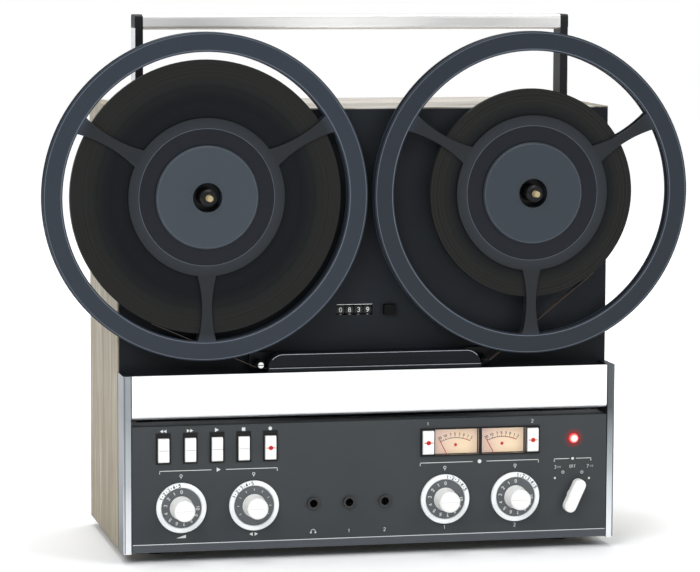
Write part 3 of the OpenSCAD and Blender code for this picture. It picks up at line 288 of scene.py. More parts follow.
def brushed(name, color, roughness, stretch, spread=0.08, bump=0.08, metallic=1.0, **plain):
    """A drawn metal: fine parallel lines that change colour, roughness and height a little."""
    material = new_finish(name, color, roughness, metallic=metallic, **plain)
    effect = place_group(material, line_group, Stretch=stretch)
    vary(material, effect.outputs["Lines"], spread, effect.outputs["Tone"], 0.15)
    add_bump(material, effect.outputs["Lines"], bump, 0.00003)
    return material


def radius_from(material, axis):
    """The distance from an axis along Y."""
    return place_group(material, ring_group, Axis=axis).outputs["Radius"]


def coordinate(material, axis):
    """One of the Object coordinates, in metres."""
    axes = material.node_tree.nodes.new("ShaderNodeSeparateXYZ")
    material.node_tree.links.new(object_place(material.node_tree), axes.inputs[0])
    return axes.outputs[axis]


def combine(material, operation, *values):
    """A sum of one or two values, such as MULTIPLY or ABSOLUTE."""
    node = material.node_tree.nodes.new("ShaderNodeMath")
    node.operation = operation
    for socket, value in zip(node.inputs, values):
        material.node_tree.links.new(value, socket)
    return node.outputs[0]


def overlay(material, mask, color):
    """Lays a second colour over a finish where a mask is 1."""
    below = shader_of(material).inputs["Base Color"].links[0].from_socket
    feed(material, mix_colors(material, mask, below, color), "Base Color")


def dress(material, *names):
    """Gives CAD nodes a finish."""
    for name in names:
        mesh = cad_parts[name].data
        mesh.materials.clear()
        mesh.materials.append(material)


def middle(name):
    """The centre of a node's box."""
    low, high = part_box(name)
    return (low + high) / 2


def front_of(name):
    """The depth of a node's front along Y."""
    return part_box(name)[0].y


def box_mm(name):
    """The lowest and highest corners of a node's box, in millimetres."""
    low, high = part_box(name)
    return low / MM, high / MM


# %% [markdown]
# The floor is plain and pale, and the light is soft: a bright surround that the camera sees as white, a
# large lamp from the upper left, a weaker one from the right, and one overhead. A picture of a studio could
# light the machine too, but a plain surround and three lamps need no file. The floor gives off a little
# light away from the machine, so that it ends in white and still takes a shadow.

# %% Floor
FLOOR_SIZE = 6.0
SHADE_R, BRIGHT_R, FLOOR_GLOW = 0.27, 0.9, 0.6
floor_mesh = bpy.data.meshes.new("floor")
corners = np.array([(-1, -1, 0), (1, -1, 0), (1, 1, 0), (-1, 1, 0)]) * FLOOR_SIZE
floor_mesh.from_pydata(corners.tolist(), [], [(0, 1, 2, 3)])
floor = add_object("floor", floor_mesh)
floor_paint = new_finish("floor_paint", (0.9, 0.9, 0.9), 0.8, glow=1.0)
reach = vector_math(floor_paint.node_tree, "LENGTH", object_place(floor_paint.node_tree))
feed(floor_paint, ramp(floor_paint, reach, SHADE_R, BRIGHT_R, 0.0, FLOOR_GLOW), "Emission Color")
floor_mesh.materials.append(floor_paint)
print("floor:", 2 * FLOOR_SIZE, "m wide")

# %% Light
SURROUND = 0.45
TARGET = Vector((0, 0, 0.22))
world = bpy.data.worlds.new("studio")
world.use_nodes = True
sky = world.node_tree
lit = sky.nodes["Background"]
lit.inputs["Color"].default_value = (0.95, 0.98, 1.0, 1)
lit.inputs["Strength"].default_value = SURROUND
seen = sky.nodes.new("ShaderNodeBackground")
seen.inputs["Color"].default_value = (1, 1, 1, 1)
either = sky.nodes.new("ShaderNodeMixShader")
sky.links.new(sky.nodes.new("ShaderNodeLightPath").outputs["Is Camera Ray"], either.inputs["Fac"])
sky.links.new(lit.outputs[0], either.inputs[1])
sky.links.new(seen.outputs[0], either.inputs[2])
sky.links.new(either.outputs[0], sky.nodes["World Output"].inputs["Surface"])
bpy.context.scene.world = world
bpy.context.scene.view_settings.view_transform = "Standard"


def soft_lamp(name, place, size, watts):
    """A square lamp at a place, facing the middle of the machine."""
    lamp = bpy.data.lights.new(name, "AREA")
    lamp.size = size
    lamp.energy = watts
    turn = (TARGET - Vector(place)).to_track_quat("-Z", "Y")
    add_object(name, lamp).matrix_world = Matrix.Translation(place) @ turn.to_matrix().to_4x4()


soft_lamp("key_lamp", (-1.5, -2.0, 1.9), 1.4, 46)
soft_lamp("side_lamp", (1.7, -1.6, 1.3), 1.0, 18)
soft_lamp("top_lamp", (0.0, 0.3, 2.4), 1.6, 45)
print("surround:", SURROUND)

# %% [markdown]
# The case is covered with a pale veneer. Its figure is a noise drawn out along the grain, upright on the
# sides and lengthways on the top and bottom boards, so a mask on the distance from the middle picks the
# direction. The top and bottom boards lose the bands and turn plain and pale: a painted highlight for the
# brightly lit top.

# %% Wood veneer
BOARD = 12 * MM
UPRIGHT, LENGTHWAYS = (60.0, 60.0, 2.2), (2.2, 60.0, 60.0)


def wood_figure(material, stretch):
    """Pores and bands of a veneer: noise on Object coordinates, squeezed across the grain."""
    tree = material.node_tree
    squeezed = vector_math(tree, "MULTIPLY", object_place(tree), stretch)
    return noise_in(tree, squeezed, 9.0, 6.0), noise_in(tree, squeezed, 1.6, 3.0)


veneer = new_finish("veneer", (0.40, 0.35, 0.27), 0.55, specular=0.35)
side_pores, side_bands = wood_figure(veneer, UPRIGHT)
top_pores, top_bands = wood_figure(veneer, LENGTHWAYS)
case_low, case_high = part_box("wooden_case")
away = combine(veneer, "ABSOLUTE", coordinate(veneer, "X"))
on_side = beyond(veneer, away, case_high.x - BOARD - HAIR)
pores = mix_colors(veneer, on_side, top_pores, side_pores)
bands = mix_colors(veneer, on_side, top_bands, side_bands)
banded = mix_colors(veneer, ramp(veneer, bands, *NOISE_SPAN), (0.225, 0.20, 0.152), (0.425, 0.40, 0.34))
# Painted highlight: the top and bottom boards take a plain pale colour in place of the banded figure.
boards = mix_colors(veneer, on_side, (0.60, 0.58, 0.54), banded)
figured = mix_colors(veneer, ramp(veneer, pores, 0.42, 0.62, 0.0, 0.85), boards, (0.225, 0.182, 0.125))
rise = ramp(veneer, coordinate(veneer, "Z"), 0.02, 0.32)
tint = mix_colors(veneer, rise, (1.0, 0.95, 0.84), (1.0, 1.0, 1.0))
feed(veneer, vector_math(veneer.node_tree, "MULTIPLY", figured, tint), "Base Color")
feed(veneer, ramp(veneer, pores, *NOISE_SPAN, 0.48, 0.66), "Roughness")
add_bump(veneer, pores, 0.25, 0.00012)
dress(veneer, "wooden_case")
print("wood from", round(case_low.z, 3), "to", round(case_high.z, 3))

# %% [markdown]
# The deck, the panel and the back are painted metal, and the feet, sockets and covers are black mouldings.
# They share one recipe and differ in colour, gloss and grain. On the panel's upper ledge, under the flap,
# the colour grows lighter towards the back. This is painted light: it stands in for the flap's rolled
# edge, which looks grey there in its shade, and lifts the flap's shadow.

# %% Painted and moulded blacks
dress(grained("deck_paint", (0.012, 0.014, 0.017), 0.5, grain=4200.0, bump=0.25, specular=0.08), "deck_plate")
panel_paint = grained("panel_paint", (0.042, 0.047, 0.050), 0.55, spread=0.07, grain=3600.0, bump=0.3,
                      specular=0.15)
STRIP_TOP, LEDGE_LIGHT_START, LEDGE_LIGHT_FULL = 15.3 * MM, 6 * MM, 24 * MM
LAMP_NEAR, LAMP_FAR = 4 * MM, 8.5 * MM
panel_front, panel_top = front_of("control_panel"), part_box("control_panel")[1].z
panel_z = coordinate(panel_paint, "Z")
overlay(panel_paint, up_to(panel_paint, panel_z, STRIP_TOP), (0.070, 0.078, 0.088))
# Painted light on the ledge under the flap, lighter towards the back.
ledge = ramp(panel_paint, panel_z, panel_top - 3 * HAIR, panel_top - HAIR)
ledge_light = ramp(panel_paint, coordinate(panel_paint, "Y"), panel_front + LEDGE_LIGHT_START, panel_front + LEDGE_LIGHT_FULL)
overlay(panel_paint, combine(panel_paint, "MULTIPLY", ledge, ledge_light), (0.55, 0.57, 0.60))
lamp_axis = tuple(middle("pilot_lamp"))
# Painted light: a red pool of the pilot lamp's glow laid on the panel round the lamp.
painted_lamp_glow = ramp(panel_paint, radius_from(panel_paint, lamp_axis), LAMP_NEAR, LAMP_FAR, 0.6, 0.0)
overlay(panel_paint, painted_lamp_glow, (0.30, 0.008, 0.012))
dress(panel_paint, "control_panel")
dress(grained("back_paint", (0.03, 0.03, 0.031), 0.5, grain=1800.0, bump=0.45), "rear_cover")
arm_paint = grained("arm_paint", (0.006, 0.006, 0.008), 0.42, bump=0.1, specular=0.25)
arm_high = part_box("handle_arms")[1]
ARM_CAP = 11 * MM
# Painted reflection: the outer sides of the black arms, below the cap, are painted light grey.
across = combine(arm_paint, "ABSOLUTE", coordinate(arm_paint, "X"))
outer = ramp(arm_paint, across, arm_high.x - 4 * HAIR, arm_high.x - 2 * HAIR)
below_cap = up_to(arm_paint, coordinate(arm_paint, "Z"), arm_high.z - ARM_CAP)
overlay(arm_paint, combine(arm_paint, "MULTIPLY", outer, below_cap), (0.66, 0.68, 0.70))
dress(arm_paint, "handle_arms")
dress(grained("cover_moulding", (0.0035, 0.0048, 0.0068), 0.22, spread=0.2, grain=1500.0, bump=0.05,
              specular=0.11), "head_cover")
WHEELS = ["counter_wheel_" + str(place) for place in range(1, 5)]
MOULDINGS = (
    ("foot_rubber", 0.012, 0.75, 0.4, 0.3, ["feet"]),
    ("socket_moulding", 0.006, 0.5, 0.2, 0.2, ["key_sockets", "meter_housing"]),
    ("jack_moulding", 0.006, 0.25, 0.1, 0.5, ["jack_sockets"]),
    ("counter_moulding", 0.008, 0.45, 0.2, 0.3, ["counter_frame", "counter_pulley", *WHEELS]),
    ("button_moulding", 0.003, 0.5, 0.2, 0.08, ["counter_reset_button"]),
    ("drive_rubber", 0.012, 0.8, 0.3, 0.25, ["pinch_roller", "counter_belt"]))
for name, grey, roughness, bump, specular, nodes in MOULDINGS:
    dress(grained(name, (grey, grey, grey), roughness, bump=bump, specular=specular), *nodes)
dress(grained("board_laminate", (0.03, 0.12, 0.05), 0.5, bump=0.3), "circuit_boards")
print("painted and moulded finishes:", len(bpy.data.materials))

# %% [markdown]
# The flap, the trims and the grip are aluminium, drawn or satin. The lines run along each piece, so the
# noise is stretched along X on the flap and the grip, and along Z on the trims. A reflection is painted
# into the trims: duller towards the top, more so on the right trim, bright at the foot, and darker on
# their flanks. On the real machine that is the room and the table mirrored in the metal.

# %% Aluminium and steel
ALONG_X = (5.0, 1400.0, 1400.0)
ALONG_Z = (1400.0, 1400.0, 5.0)
dress(brushed("flap_aluminium", (0.90, 0.91, 0.92), 0.42, ALONG_X, spread=0.03, bump=0.05), "front_flap")
trim = brushed("trim_aluminium", (0.44, 0.47, 0.49), 0.32, ALONG_Z, spread=0.06)
TRIM_DIM = (58 * MM, 118 * MM)
TRIM_BRIGHT = (12 * MM, 65 * MM)
FLANK_DIM = (30 * MM, 120 * MM)
FLANK_EDGE = (0.8 * MM, 1.6 * MM)
trim_front = front_of("side_trims")
trim_z = coordinate(trim, "Z")
# Painted reflection: darker towards the top (more on the right trim), bright at the foot, dark flanks.
dimmed_reflection = combine(trim, "MULTIPLY", ramp(trim, trim_z, *TRIM_DIM),
                 ramp(trim, coordinate(trim, "X"), -MM, MM, 0.48, 0.93))
overlay(trim, dimmed_reflection, (0.06, 0.066, 0.07))
overlay(trim, ramp(trim, trim_z, *TRIM_BRIGHT, 1.0, 0.0), (0.86, 0.88, 0.90))
flank_reflection = mix_colors(trim, ramp(trim, trim_z, *FLANK_DIM), (0.101, 0.126, 0.142), (0.064, 0.079, 0.090))
flank = ramp(trim, coordinate(trim, "Y"), *[trim_front + edge for edge in FLANK_EDGE])
overlay(trim, flank, flank_reflection)
dress(trim, "side_trims")
dress(brushed("grip_aluminium", (0.80, 0.79, 0.78), 0.45, ALONG_X, spread=0.05), "handle_bar")
dress(brushed("chassis_metal", (0.62, 0.63, 0.64), 0.4, ALONG_X), "chassis")
dress(brushed("ground_steel", (0.62, 0.62, 0.63), 0.25, ALONG_Z), "tape_heads", "capstan", "pinch_arm")
dress(brushed("motor_metal", (0.42, 0.42, 0.43), 0.45, ALONG_X, spread=0.15), "motors", "power_transformer")
print("trims begin at y", round(trim_front, 4))

# %% [markdown]
# Two nodes are made of two materials. The head block is a black plate with steel guides in front of it, and
# the connector plate is grey with plated sockets behind it. A mask on the depth parts them.

# %% Two-part finishes
PARTING = 0.02 * MM


def split_by_depth(name, front, back, depth, metal_in_front, roughness, **plain):
    """Two colours parted at a depth along Y; the metal one lies in front of it or behind it."""
    material = new_finish(name, front, roughness, **plain)
    span = (coordinate(material, "Y"), depth - PARTING, depth)
    effect = place_group(material, grain_group, Grain_Scale=2400.0, Tone_Scale=40.0)
    share = ramp(material, effect.outputs["Tone"], *NOISE_SPAN)
    toned = mix_colors(material, share, shade(front, 0.85), front)
    feed(material, mix_colors(material, ramp(material, *span), toned, back), "Base Color")
    ends = (1.0, 0.0) if metal_in_front else (0.0, 1.0)
    feed(material, ramp(material, *span, *ends), "Metallic")
    add_bump(material, effect.outputs["Grain"], 0.1, 0.00004)
    return material


BLOCK_PLATE, GUIDE_SCREW = 4 * MM, 2.9 * MM
GUIDE_Z, SLOT_HALF = 159.0 * MM, 0.375 * MM
BLACK = (0.006, 0.006, 0.007)
block_low, block_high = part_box("head_block")
guides = split_by_depth("block_and_guides", (0.72, 0.72, 0.73), (0.01, 0.01, 0.01),
                        block_high.y - BLOCK_PLATE - HAIR, True, 0.3, specular=0.1)
overlay(guides, beyond(guides, coordinate(guides, "Y"), block_low.y + GUIDE_SCREW), BLACK)
overlay(guides, ramp(guides, coordinate(guides, "X"), 0.0, MM), BLACK)
# Painted shade: the guide screw's slot, a real groove, is darkened.
guide_z = coordinate(guides, "Z")
slot = combine(guides, "MULTIPLY", beyond(guides, guide_z, GUIDE_Z - SLOT_HALF),
               up_to(guides, guide_z, GUIDE_Z + SLOT_HALF - HAIR))
overlay(guides, slot, (0.02, 0.02, 0.02))
dress(guides, "head_block")
plate_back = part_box("rear_cover")[1].y
dress(split_by_depth("connector_plate", (0.16, 0.16, 0.165), (0.72, 0.70, 0.66), plate_back + HAIR,
                     False, 0.35), "rear_connectors")
print("head block from", round(block_low.y, 4), "connector plate at", round(plate_back, 4))

# %% [markdown]
# The reels are dark anodised metal. Turning leaves faint rings about each axis, and the wound tape shows
# rings too: bands where the tension changed. Both come from a noise on the distance to the axis.

# %% Reels and tape


def turned(name, axis, color, roughness, spread, ring_scale, bump, **plain):
    """A finish with rings about an axis along Y, and the distance from that axis."""
    material = new_finish(name, color, roughness, **plain)
    effect = place_group(material, ring_group, Axis=axis, Ring_Scale=ring_scale)
    vary(material, effect.outputs["Rings"], spread, effect.outputs["Rings"], 0.15)
    add_bump(material, effect.outputs["Rings"], bump, 0.00005)
    return material, effect.outputs["Radius"]


HUB_FACE, HUB_BAND, RIM_INNER, RIM_FADE = 55.5 * MM, 64.2 * MM, 117.2 * MM, 6 * MM
TIP_R = 2.7 * MM
PACK_INNER, PACK_OUTER = 0.74, 0.88
SIDES = ("left", "right")
# Painted light and shade: the left reel's hub and rim are lighter than the right's, on two like reels.
HUB_LIT_AND_SHADED = {"left": (0.032, 0.041, 0.052), "right": (0.024, 0.031, 0.040)}
RIM_LIT_AND_SHADED = {"left": (0.019, 0.025, 0.035), "right": (0.014, 0.019, 0.027)}
for side in SIDES:
    axis = tuple(middle(side + "_spool"))
    metal, radius = turned(side + "_reel_metal", axis, RIM_LIT_AND_SHADED[side], 0.38, 0.06, 1500.0, 0.12,
                           specular=0.22)
    overlay(metal, ramp(metal, radius, RIM_INNER - RIM_FADE, RIM_INNER, 1.0, 0.0), (0.010, 0.012, 0.015))
    overlay(metal, ramp(metal, radius, HUB_FACE, HUB_BAND, 0.8, 0.0), (0.018, 0.022, 0.028))
    overlay(metal, ramp(metal, radius, HUB_FACE - 2 * HAIR, HUB_FACE, 1.0, 0.0), (0.003, 0.0045, 0.0085))
    dress(metal, side + "_spool")
    tape, radius = turned(side + "_tape", axis, (0.013, 0.0134, 0.0124), 0.5, 0.3, 700.0, 0.25, specular=0.07)
    low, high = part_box(side + "_tape_pack")
    pack_r = (high.x - low.x) / 2
    inside = ramp(tape, radius, pack_r * PACK_INNER, pack_r * PACK_OUTER, 1.0, 0.0)
    overlay(tape, inside, (0.0055, 0.0066, 0.0082))
    dress(tape, side + "_tape_pack")
    hub, _ = turned(side + "_hub_plastic", axis, HUB_LIT_AND_SHADED[side], 0.45, 0.05, 1100.0, 0.1, specular=0.25)
    dress(hub, side + "_hub_adapter")
    post, radius = turned(side + "_spindle_metal", axis, BLACK, 0.35, 0.2, 1200.0, 0.1, specular=0.2)
    overlay(post, up_to(post, radius, TIP_R), (0.34, 0.27, 0.15))
    dress(post, side + "_spindle")
dress(brushed("tape_back", (0.05, 0.035, 0.028), 0.4, ALONG_X, metallic=0.0), "tape_run")
print("reel axes:", [tuple(round(v, 4) for v in middle(side + "_spool")) for side in SIDES])

# %% [markdown]
# Keys, rings, knobs and the lever are white mouldings. Each knob carries a dark dial behind its cap, in the
# same piece, so its finish changes colour beyond the cap's radius.

# %% White controls
WHITE = (0.80, 0.80, 0.78)
white_moulding = grained("white_moulding", WHITE, 0.32, spread=0.03, grain=1800.0, bump=0.06)
KEYS = ["rewind_key", "forward_key", "play_key", "stop_key", "record_key"]
SELECTS = ["left_record_select", "right_record_select"]
CONTROLS = ["volume", "balance", "left_level", "right_level"]
dress(white_moulding, *KEYS, *SELECTS, "power_lever")
dress(grained("ring_moulding", (0.80, 0.82, 0.83), 0.35, spread=0.04, grain=1800.0, bump=0.06),
      *[c + "_ring" for c in CONTROLS])
CAP_EDGE = 9.6 * MM
for control in CONTROLS:
    axis = tuple(middle(control + "_knob"))
    knob, radius = turned(control + "_knob_moulding", axis, WHITE, 0.35, 0.03, 900.0, 0.05)
    overlay(knob, beyond(knob, radius, CAP_EDGE), (0.075, 0.082, 0.090))
    dress(knob, control + "_knob")
print("white controls:", len(KEYS) + len(SELECTS) + 2 * len(CONTROLS) + 1)

# %% [markdown]
# The pilot lamp glows: nearly white at its core and red towards its edge. The meter panes are clear, and
# the needles are painted red.

# %% Lamp, glass and needles
LAMP_CORE, LAMP_EDGE = 1.2 * MM, 3.6 * MM
lamp_lens = new_finish("lamp_lens", (0.6, 0.02, 0.02), 0.15, glow=2.2)
redder = ramp(lamp_lens, radius_from(lamp_lens, lamp_axis), LAMP_CORE, LAMP_EDGE)
feed(lamp_lens, mix_colors(lamp_lens, redder, (1.0, 0.72, 0.66), (1.0, 0.03, 0.03)), "Emission Color")
dress(lamp_lens, "pilot_lamp")

pane = new_finish("pane", (1.0, 1.0, 1.0), 0.03, specular=0.4)
shader_of(pane).inputs["Transmission Weight"].default_value = 1.0
shader_of(pane).inputs["IOR"].default_value = 1.2
dress(pane, "meter_windows")
dress(grained("needle_paint", (0.5, 0.02, 0.02), 0.4), "left_needle", "right_needle")
print("lamp at", [round(v, 3) for v in lamp_axis])

# %% [markdown]
# The legends are screen-printed: thin ink on paint. They could be an image, but lines swept along paths
# stay sharp at any distance. All of them are worked out flat first, in millimetres to the right, up and out
# of the surface.

# %% Ink shapes
INK, CLEAR = 0.05, 0.02


def ribbon(path, width, closed=False):
    """A line of ink: a flat rectangle swept along a path, half its width to each side along the normal."""
    path = np.asarray(path, float)
    before = np.roll(path, 1, 0) if closed else np.vstack([path[:1], path[:-1]])
    after = np.roll(path, -1, 0) if closed else np.vstack([path[1:], path[-1:]])
    along = after - before
    along /= np.linalg.norm(along, axis=1, keepdims=True)
    across = np.stack([-along[:, 1], along[:, 0]], axis=1) * width / 2
    sides = np.stack([path - across, path + across, path + across, path - across], axis=1)
    heights = np.broadcast_to(np.array([INK, INK, 0, 0])[None, :, None], (len(path), 4, 1))
    rows = np.arange(len(path) if closed else len(path) - 1)
    first = rows[:, None] * 4 + np.arange(4)
    second = (rows[:, None] + 1) % len(path) * 4 + np.arange(4)
    quads = np.stack([first, second, np.roll(second, -1, 1), np.roll(first, -1, 1)], axis=2)
    faces = quads.reshape(-1, 4).tolist()
    if not closed:
        last = 4 * (len(path) - 1)
        faces += [[0, 1, 2, 3], [last + 3, last + 2, last + 1, last]]
    return np.concatenate([sides, heights], axis=2).reshape(-1, 3), faces


def plate(outline):
    """A filled shape: its outline in front, the same outline behind, and a wall of quads between them."""
    outline = np.asarray(outline, float)
    count = len(outline)
    step = np.arange(count)
    after = (step + 1) % count
    points = np.vstack([np.column_stack([outline, np.full(count, height)]) for height in (INK, 0.0)])
    walls = np.stack([step + count, after + count, after, step], axis=1)
    return points, [step.tolist(), (step[::-1] + count).tolist(), *walls.tolist()]


def arc(u, v, radius_u, radius_v, start, stop, count=18):
    """Points on an ellipse: the centre plus the radii times cosine and sine of angles in degrees."""
    turn = np.radians(np.linspace(start, stop, count))
    return np.stack([u + radius_u * np.cos(turn), v + radius_v * np.sin(turn)], axis=1)


def line(*corners, count=7):
    """Points evenly along straight legs between corners."""
    corners = np.asarray(corners, float)
    share = np.linspace(0, 1, count)[:, None]
    legs = corners[:-1, None] * (1 - share) + corners[1:, None] * share
    return np.vstack([legs[0], *legs[1:, 1:]])


def dash(left, right, v, width, count=3):
    """A level line of ink between two places."""
    return ribbon(line((left, v), (right, v), count=count), width)


def disc(u, v, radius):
    """A filled circle."""
    return plate(arc(u, v, radius, radius, 0, 345, 24))


def circle(u, v, radius, width, count=48):
    """A ring of ink."""
    return ribbon(arc(u, v, radius, radius, 0, 360 - 360 / count, count), width, closed=True)


def gather(shapes):
    """Joins shapes into one list of points and faces."""
    sizes = np.cumsum([0] + [len(points) for points, _ in shapes])
    faces = [[index + start for index in face] for start, (_, part) in zip(sizes, shapes) for face in part]
    return np.vstack([points for points, _ in shapes]), faces


def turn_to(shape, angle, u, v):
    """Turns a shape about its own zero point by degrees, then shifts it."""
    points, faces = shape
    c, s = np.cos(np.radians(angle)), np.sin(np.radians(angle))
    turned_points = points @ np.array([[c, s, 0], [-s, c, 0], [0, 0, 1]])
    return turned_points + (u, v, 0), faces


def print_on(name, shapes, surface, material, body):
    """Lays shapes on an upright face at a depth along Y, just clear of it."""
    points, faces = gather(shapes)
    placed = np.column_stack([points[:, 0], surface / MM - CLEAR - points[:, 2], points[:, 1]]) * MM
    return add_piece(name, placed, faces, material, body)


# %% [markdown]
# The figures are drawn as a sign-writer would: each is one or two strokes on a skeleton of arcs and
# straight legs, in a box one unit tall. A font would do for flat faces, but these strokes have points
# enough to wrap around a wheel.

# %% Figures
FIGURE_PITCH = 0.82
SKELETONS = {
    "0": [arc(0, 0.5, 0.28, 0.5, 90, 450, 33)],
    "1": [line((-0.14, 0.8), (0.06, 1), (0.06, 0))],
    "2": [np.vstack([arc(0, 0.72, 0.28, 0.28, 170, -30), line((-0.28, 0), (0.3, 0))])],
    "3": [arc(0, 0.76, 0.24, 0.24, 150, -90), arc(0, 0.26, 0.27, 0.26, 90, -150)],
    "4": [line((0.12, 0), (0.12, 1), (-0.3, 0.28), (0.3, 0.28))],
    "5": [np.vstack([line((0.25, 1), (-0.2, 1), (-0.24, 0.56)), arc(0, 0.31, 0.29, 0.31, 120, -150)])],
    "6": [arc(0, 0.29, 0.28, 0.29, 0, 360, 25), arc(0.24, 0.33, 0.52, 0.67, 180, 95)],
    "7": [line((-0.28, 1), (0.28, 1), (-0.08, 0))],
    "8": [arc(0, 0.76, 0.23, 0.24, 0, 360, 25), arc(0, 0.27, 0.28, 0.27, 0, 360, 25)],
    "9": [arc(0, 0.71, 0.28, 0.29, 0, 360, 25), arc(-0.24, 0.67, 0.52, 0.67, 0, -85)],
    "O": [arc(0, 0.5, 0.34, 0.5, 90, 450, 33)],
    "F": [line((0.24, 1), (-0.2, 1), (-0.2, 0)), line((-0.2, 0.52), (0.16, 0.52))],
    "/": [line((-0.22, -0.05), (0.22, 1.05))],
}


def figures(text, height, u=0.0, v=0.0, angle=0.0, weight=0.13):
    """A row of figures centred on a point, turned by degrees about it."""
    pitch = FIGURE_PITCH * height
    shapes = []
    for place, mark in enumerate(text):
        shift = ((place - (len(text) - 1) / 2) * pitch, -height / 2)
        shapes += [ribbon(path * height + shift, weight * height) for path in SKELETONS[mark]]
    return turn_to(gather(shapes), angle, u, v)


white_ink = grained("white_ink", (0.62, 0.63, 0.62), 0.6, spread=0.05, grain=5000.0, specular=0.2)
black_ink = grained("black_ink", (0.012, 0.012, 0.013), 0.6, spread=0.1, grain=5000.0, specular=0.2)
red_ink = grained("red_ink", (0.62, 0.03, 0.025), 0.55, spread=0.06, grain=5000.0, specular=0.2)
print("figures:", "".join(SKELETONS))

# %% [markdown]
# On the panel, brackets hold the controls of one task together, a small pointer stands over each ring, and
# symbols and plain figures name the keys, knobs and jacks.

# %% Legend helpers
LEGEND_LINE, TICK = 0.5, 2.4
SQUARE = np.array([(-1, -1), (1, -1), (1, 1), (-1, 1)])


def triangle(u, v, size):
    """An arrowhead about a point; a negative size points to the left."""
    foot = u - 0.5 * size
    return plate([(foot, v - 0.55 * size), (u + 0.5 * size, v), (foot, v + 0.55 * size)])


def bracket(left, right, v, gap):
    """Two lines with a tick down at the outer ends and a gap between them."""
    mid = (left + right) / 2
    return [ribbon(line((left, v - TICK), (left, v), (mid - gap / 2, v), count=3), LEGEND_LINE),
            ribbon(line((mid + gap / 2, v), (right, v), (right, v - TICK), count=3), LEGEND_LINE)]


def middle_mm(name):
    """The centre of a node's box to the right and up, in millimetres."""
    spot = middle(name) / MM
    return spot.x, spot.z


key_spots = [middle_mm(key) for key in KEYS]
select_spots = [middle_mm(select) for select in SELECTS]
ring_spots = [middle_mm(control + "_ring") for control in CONTROLS]
print("first key at", [round(place, 1) for place in key_spots[0]])

# %% Panel legends
KEY_SIGN_RISE, PAIR, SIGN, BIG_SIGN = 15.6, 1.4, 2.6, 3.2
rew, fwd, play, stop, rec = [u for u, _ in key_spots]
sign_v = key_spots[0][1] + KEY_SIGN_RISE
legends = [triangle(rew + shift, sign_v, -SIGN) for shift in (-PAIR, PAIR)]
legends += [triangle(fwd + shift, sign_v, SIGN) for shift in (-PAIR, PAIR)]
legends += [triangle(play, sign_v, BIG_SIGN), plate(SQUARE * 1.4 + (stop, sign_v)), disc(rec, sign_v, 1.5)]
legends += [figures(str(place + 1), SIGN, u, sign_v) for place, (u, _) in enumerate(select_spots)]
BRACKET_V = 75.6
for left, right, gap in ((-177.0, -80.0, 12), (40.0, 141.0, 12), (154.7, 186.4, 6)):
    legends += bracket(left, right, BRACKET_V, gap)
legends += [triangle(-128.5, BRACKET_V, BIG_SIGN), disc(90.5, BRACKET_V, 1.6), disc(170.55, BRACKET_V, 1.1)]
POINTER_V = 70.7
for u, _ in ring_spots:
    point = [(u - 0.5, POINTER_V - 0.3), (u, POINTER_V - 2.2), (u + 0.5, POINTER_V - 0.3)]
    legends += [circle(u, POINTER_V + 0.7, 1.0, 0.45), plate(point)]
NAME_V, NAME_H = 21.5, 2.8
volume, balance, left_level, right_level = [u for u, _ in ring_spots]
legends += [plate(SQUARE[:3] * (4, 1.3) + (volume, NAME_V))]
legends += [triangle(balance + 2.2 * way, NAME_V, NAME_H * way) for way in (-1, 1)]
JACK_XS, EAR = (-49.9, -19.9, 10.1), 1.9
legends += [ribbon(arc(JACK_XS[0], NAME_V, EAR, 2.0, 0, 180), 0.45)]
legends += [disc(JACK_XS[0] + shift, NAME_V - 0.5, 0.75) for shift in (-EAR, EAR)]
for text, u in (("1", left_level), ("2", right_level), ("1", JACK_XS[1]), ("2", JACK_XS[2])):
    legends.append(figures(text, NAME_H, u, NAME_V))
LEVER_V, OFF_V = 68.8, 69.0
for text, height, u, v in (("OFF", 2.3, 170.6, OFF_V), ("3", 2.6, 155.6, LEVER_V), ("7", 2.6, 183.6, LEVER_V),
                           ("3/4", 1.3, 158.8, LEVER_V), ("1/2", 1.3, 186.9, LEVER_V)):
    legends.append(figures(text, height, u, v))
legends += [circle(u, v, 1.0, 0.4) for u, v in ((162.3, 64.3), (178.7, 63.8))]
legends += [disc(u, v, 0.9) for u, v in ((155.4, 59.5), (184.9, 58.6))]
print_on("panel_legends", legends, panel_front, white_ink, "cabinet")
print("legends:", len(legends))

# %% [markdown]
# A bright line runs along the groove near the panel's foot: a painted highlight where the metal edge catches
# the light.

# %% Bright line
LINE_V, LINE_INSET = 15.5, 0.4
panel_low, panel_high = box_mm("control_panel")
edge_highlight_metal = brushed("edge_highlight_metal", (0.75, 0.77, 0.79), 0.3, ALONG_X, spread=0.05)
strip = dash(panel_low.x + LINE_INSET, panel_high.x - LINE_INSET, LINE_V, 0.55)
print_on("panel_bright_line", [strip], panel_front, edge_highlight_metal, "cabinet")
print("bright line at", LINE_V, "mm")

# %% [markdown]
# The rings and dials turn, so what is printed on them rides with each control. Dark ticks and figures lie
# on a quarter of every ring. Each dial counts from 0 at the top round to 10, and the balance dial has ticks
# alone.

# %% Rings and dials
RING_R, RING_STEP, RING_STARTS = 18.5, 15.0, (95.0, 95.0, 25.0, 25.0)
DIAL_R, DIAL_STEP, DIAL_SINK = 13.3, 27.0, 0.3 * MM
FIGURE, BOLD, KNOB_HALF = 2.5, 0.22, 7.4
dial_ink = grained("dial_ink", (0.55, 0.57, 0.58), 0.6, spread=0.05, grain=5000.0, specular=0.2)


def around(u, v, radius, angle):
    """A point on a circle at an angle in degrees."""
    return u + radius * math.cos(math.radians(angle)), v + radius * math.sin(math.radians(angle))


def tick(u, v, inner, outer, angle, width):
    """A short line along the radius."""
    return ribbon(line(around(u, v, inner, angle), around(u, v, outer, angle), count=2), width)


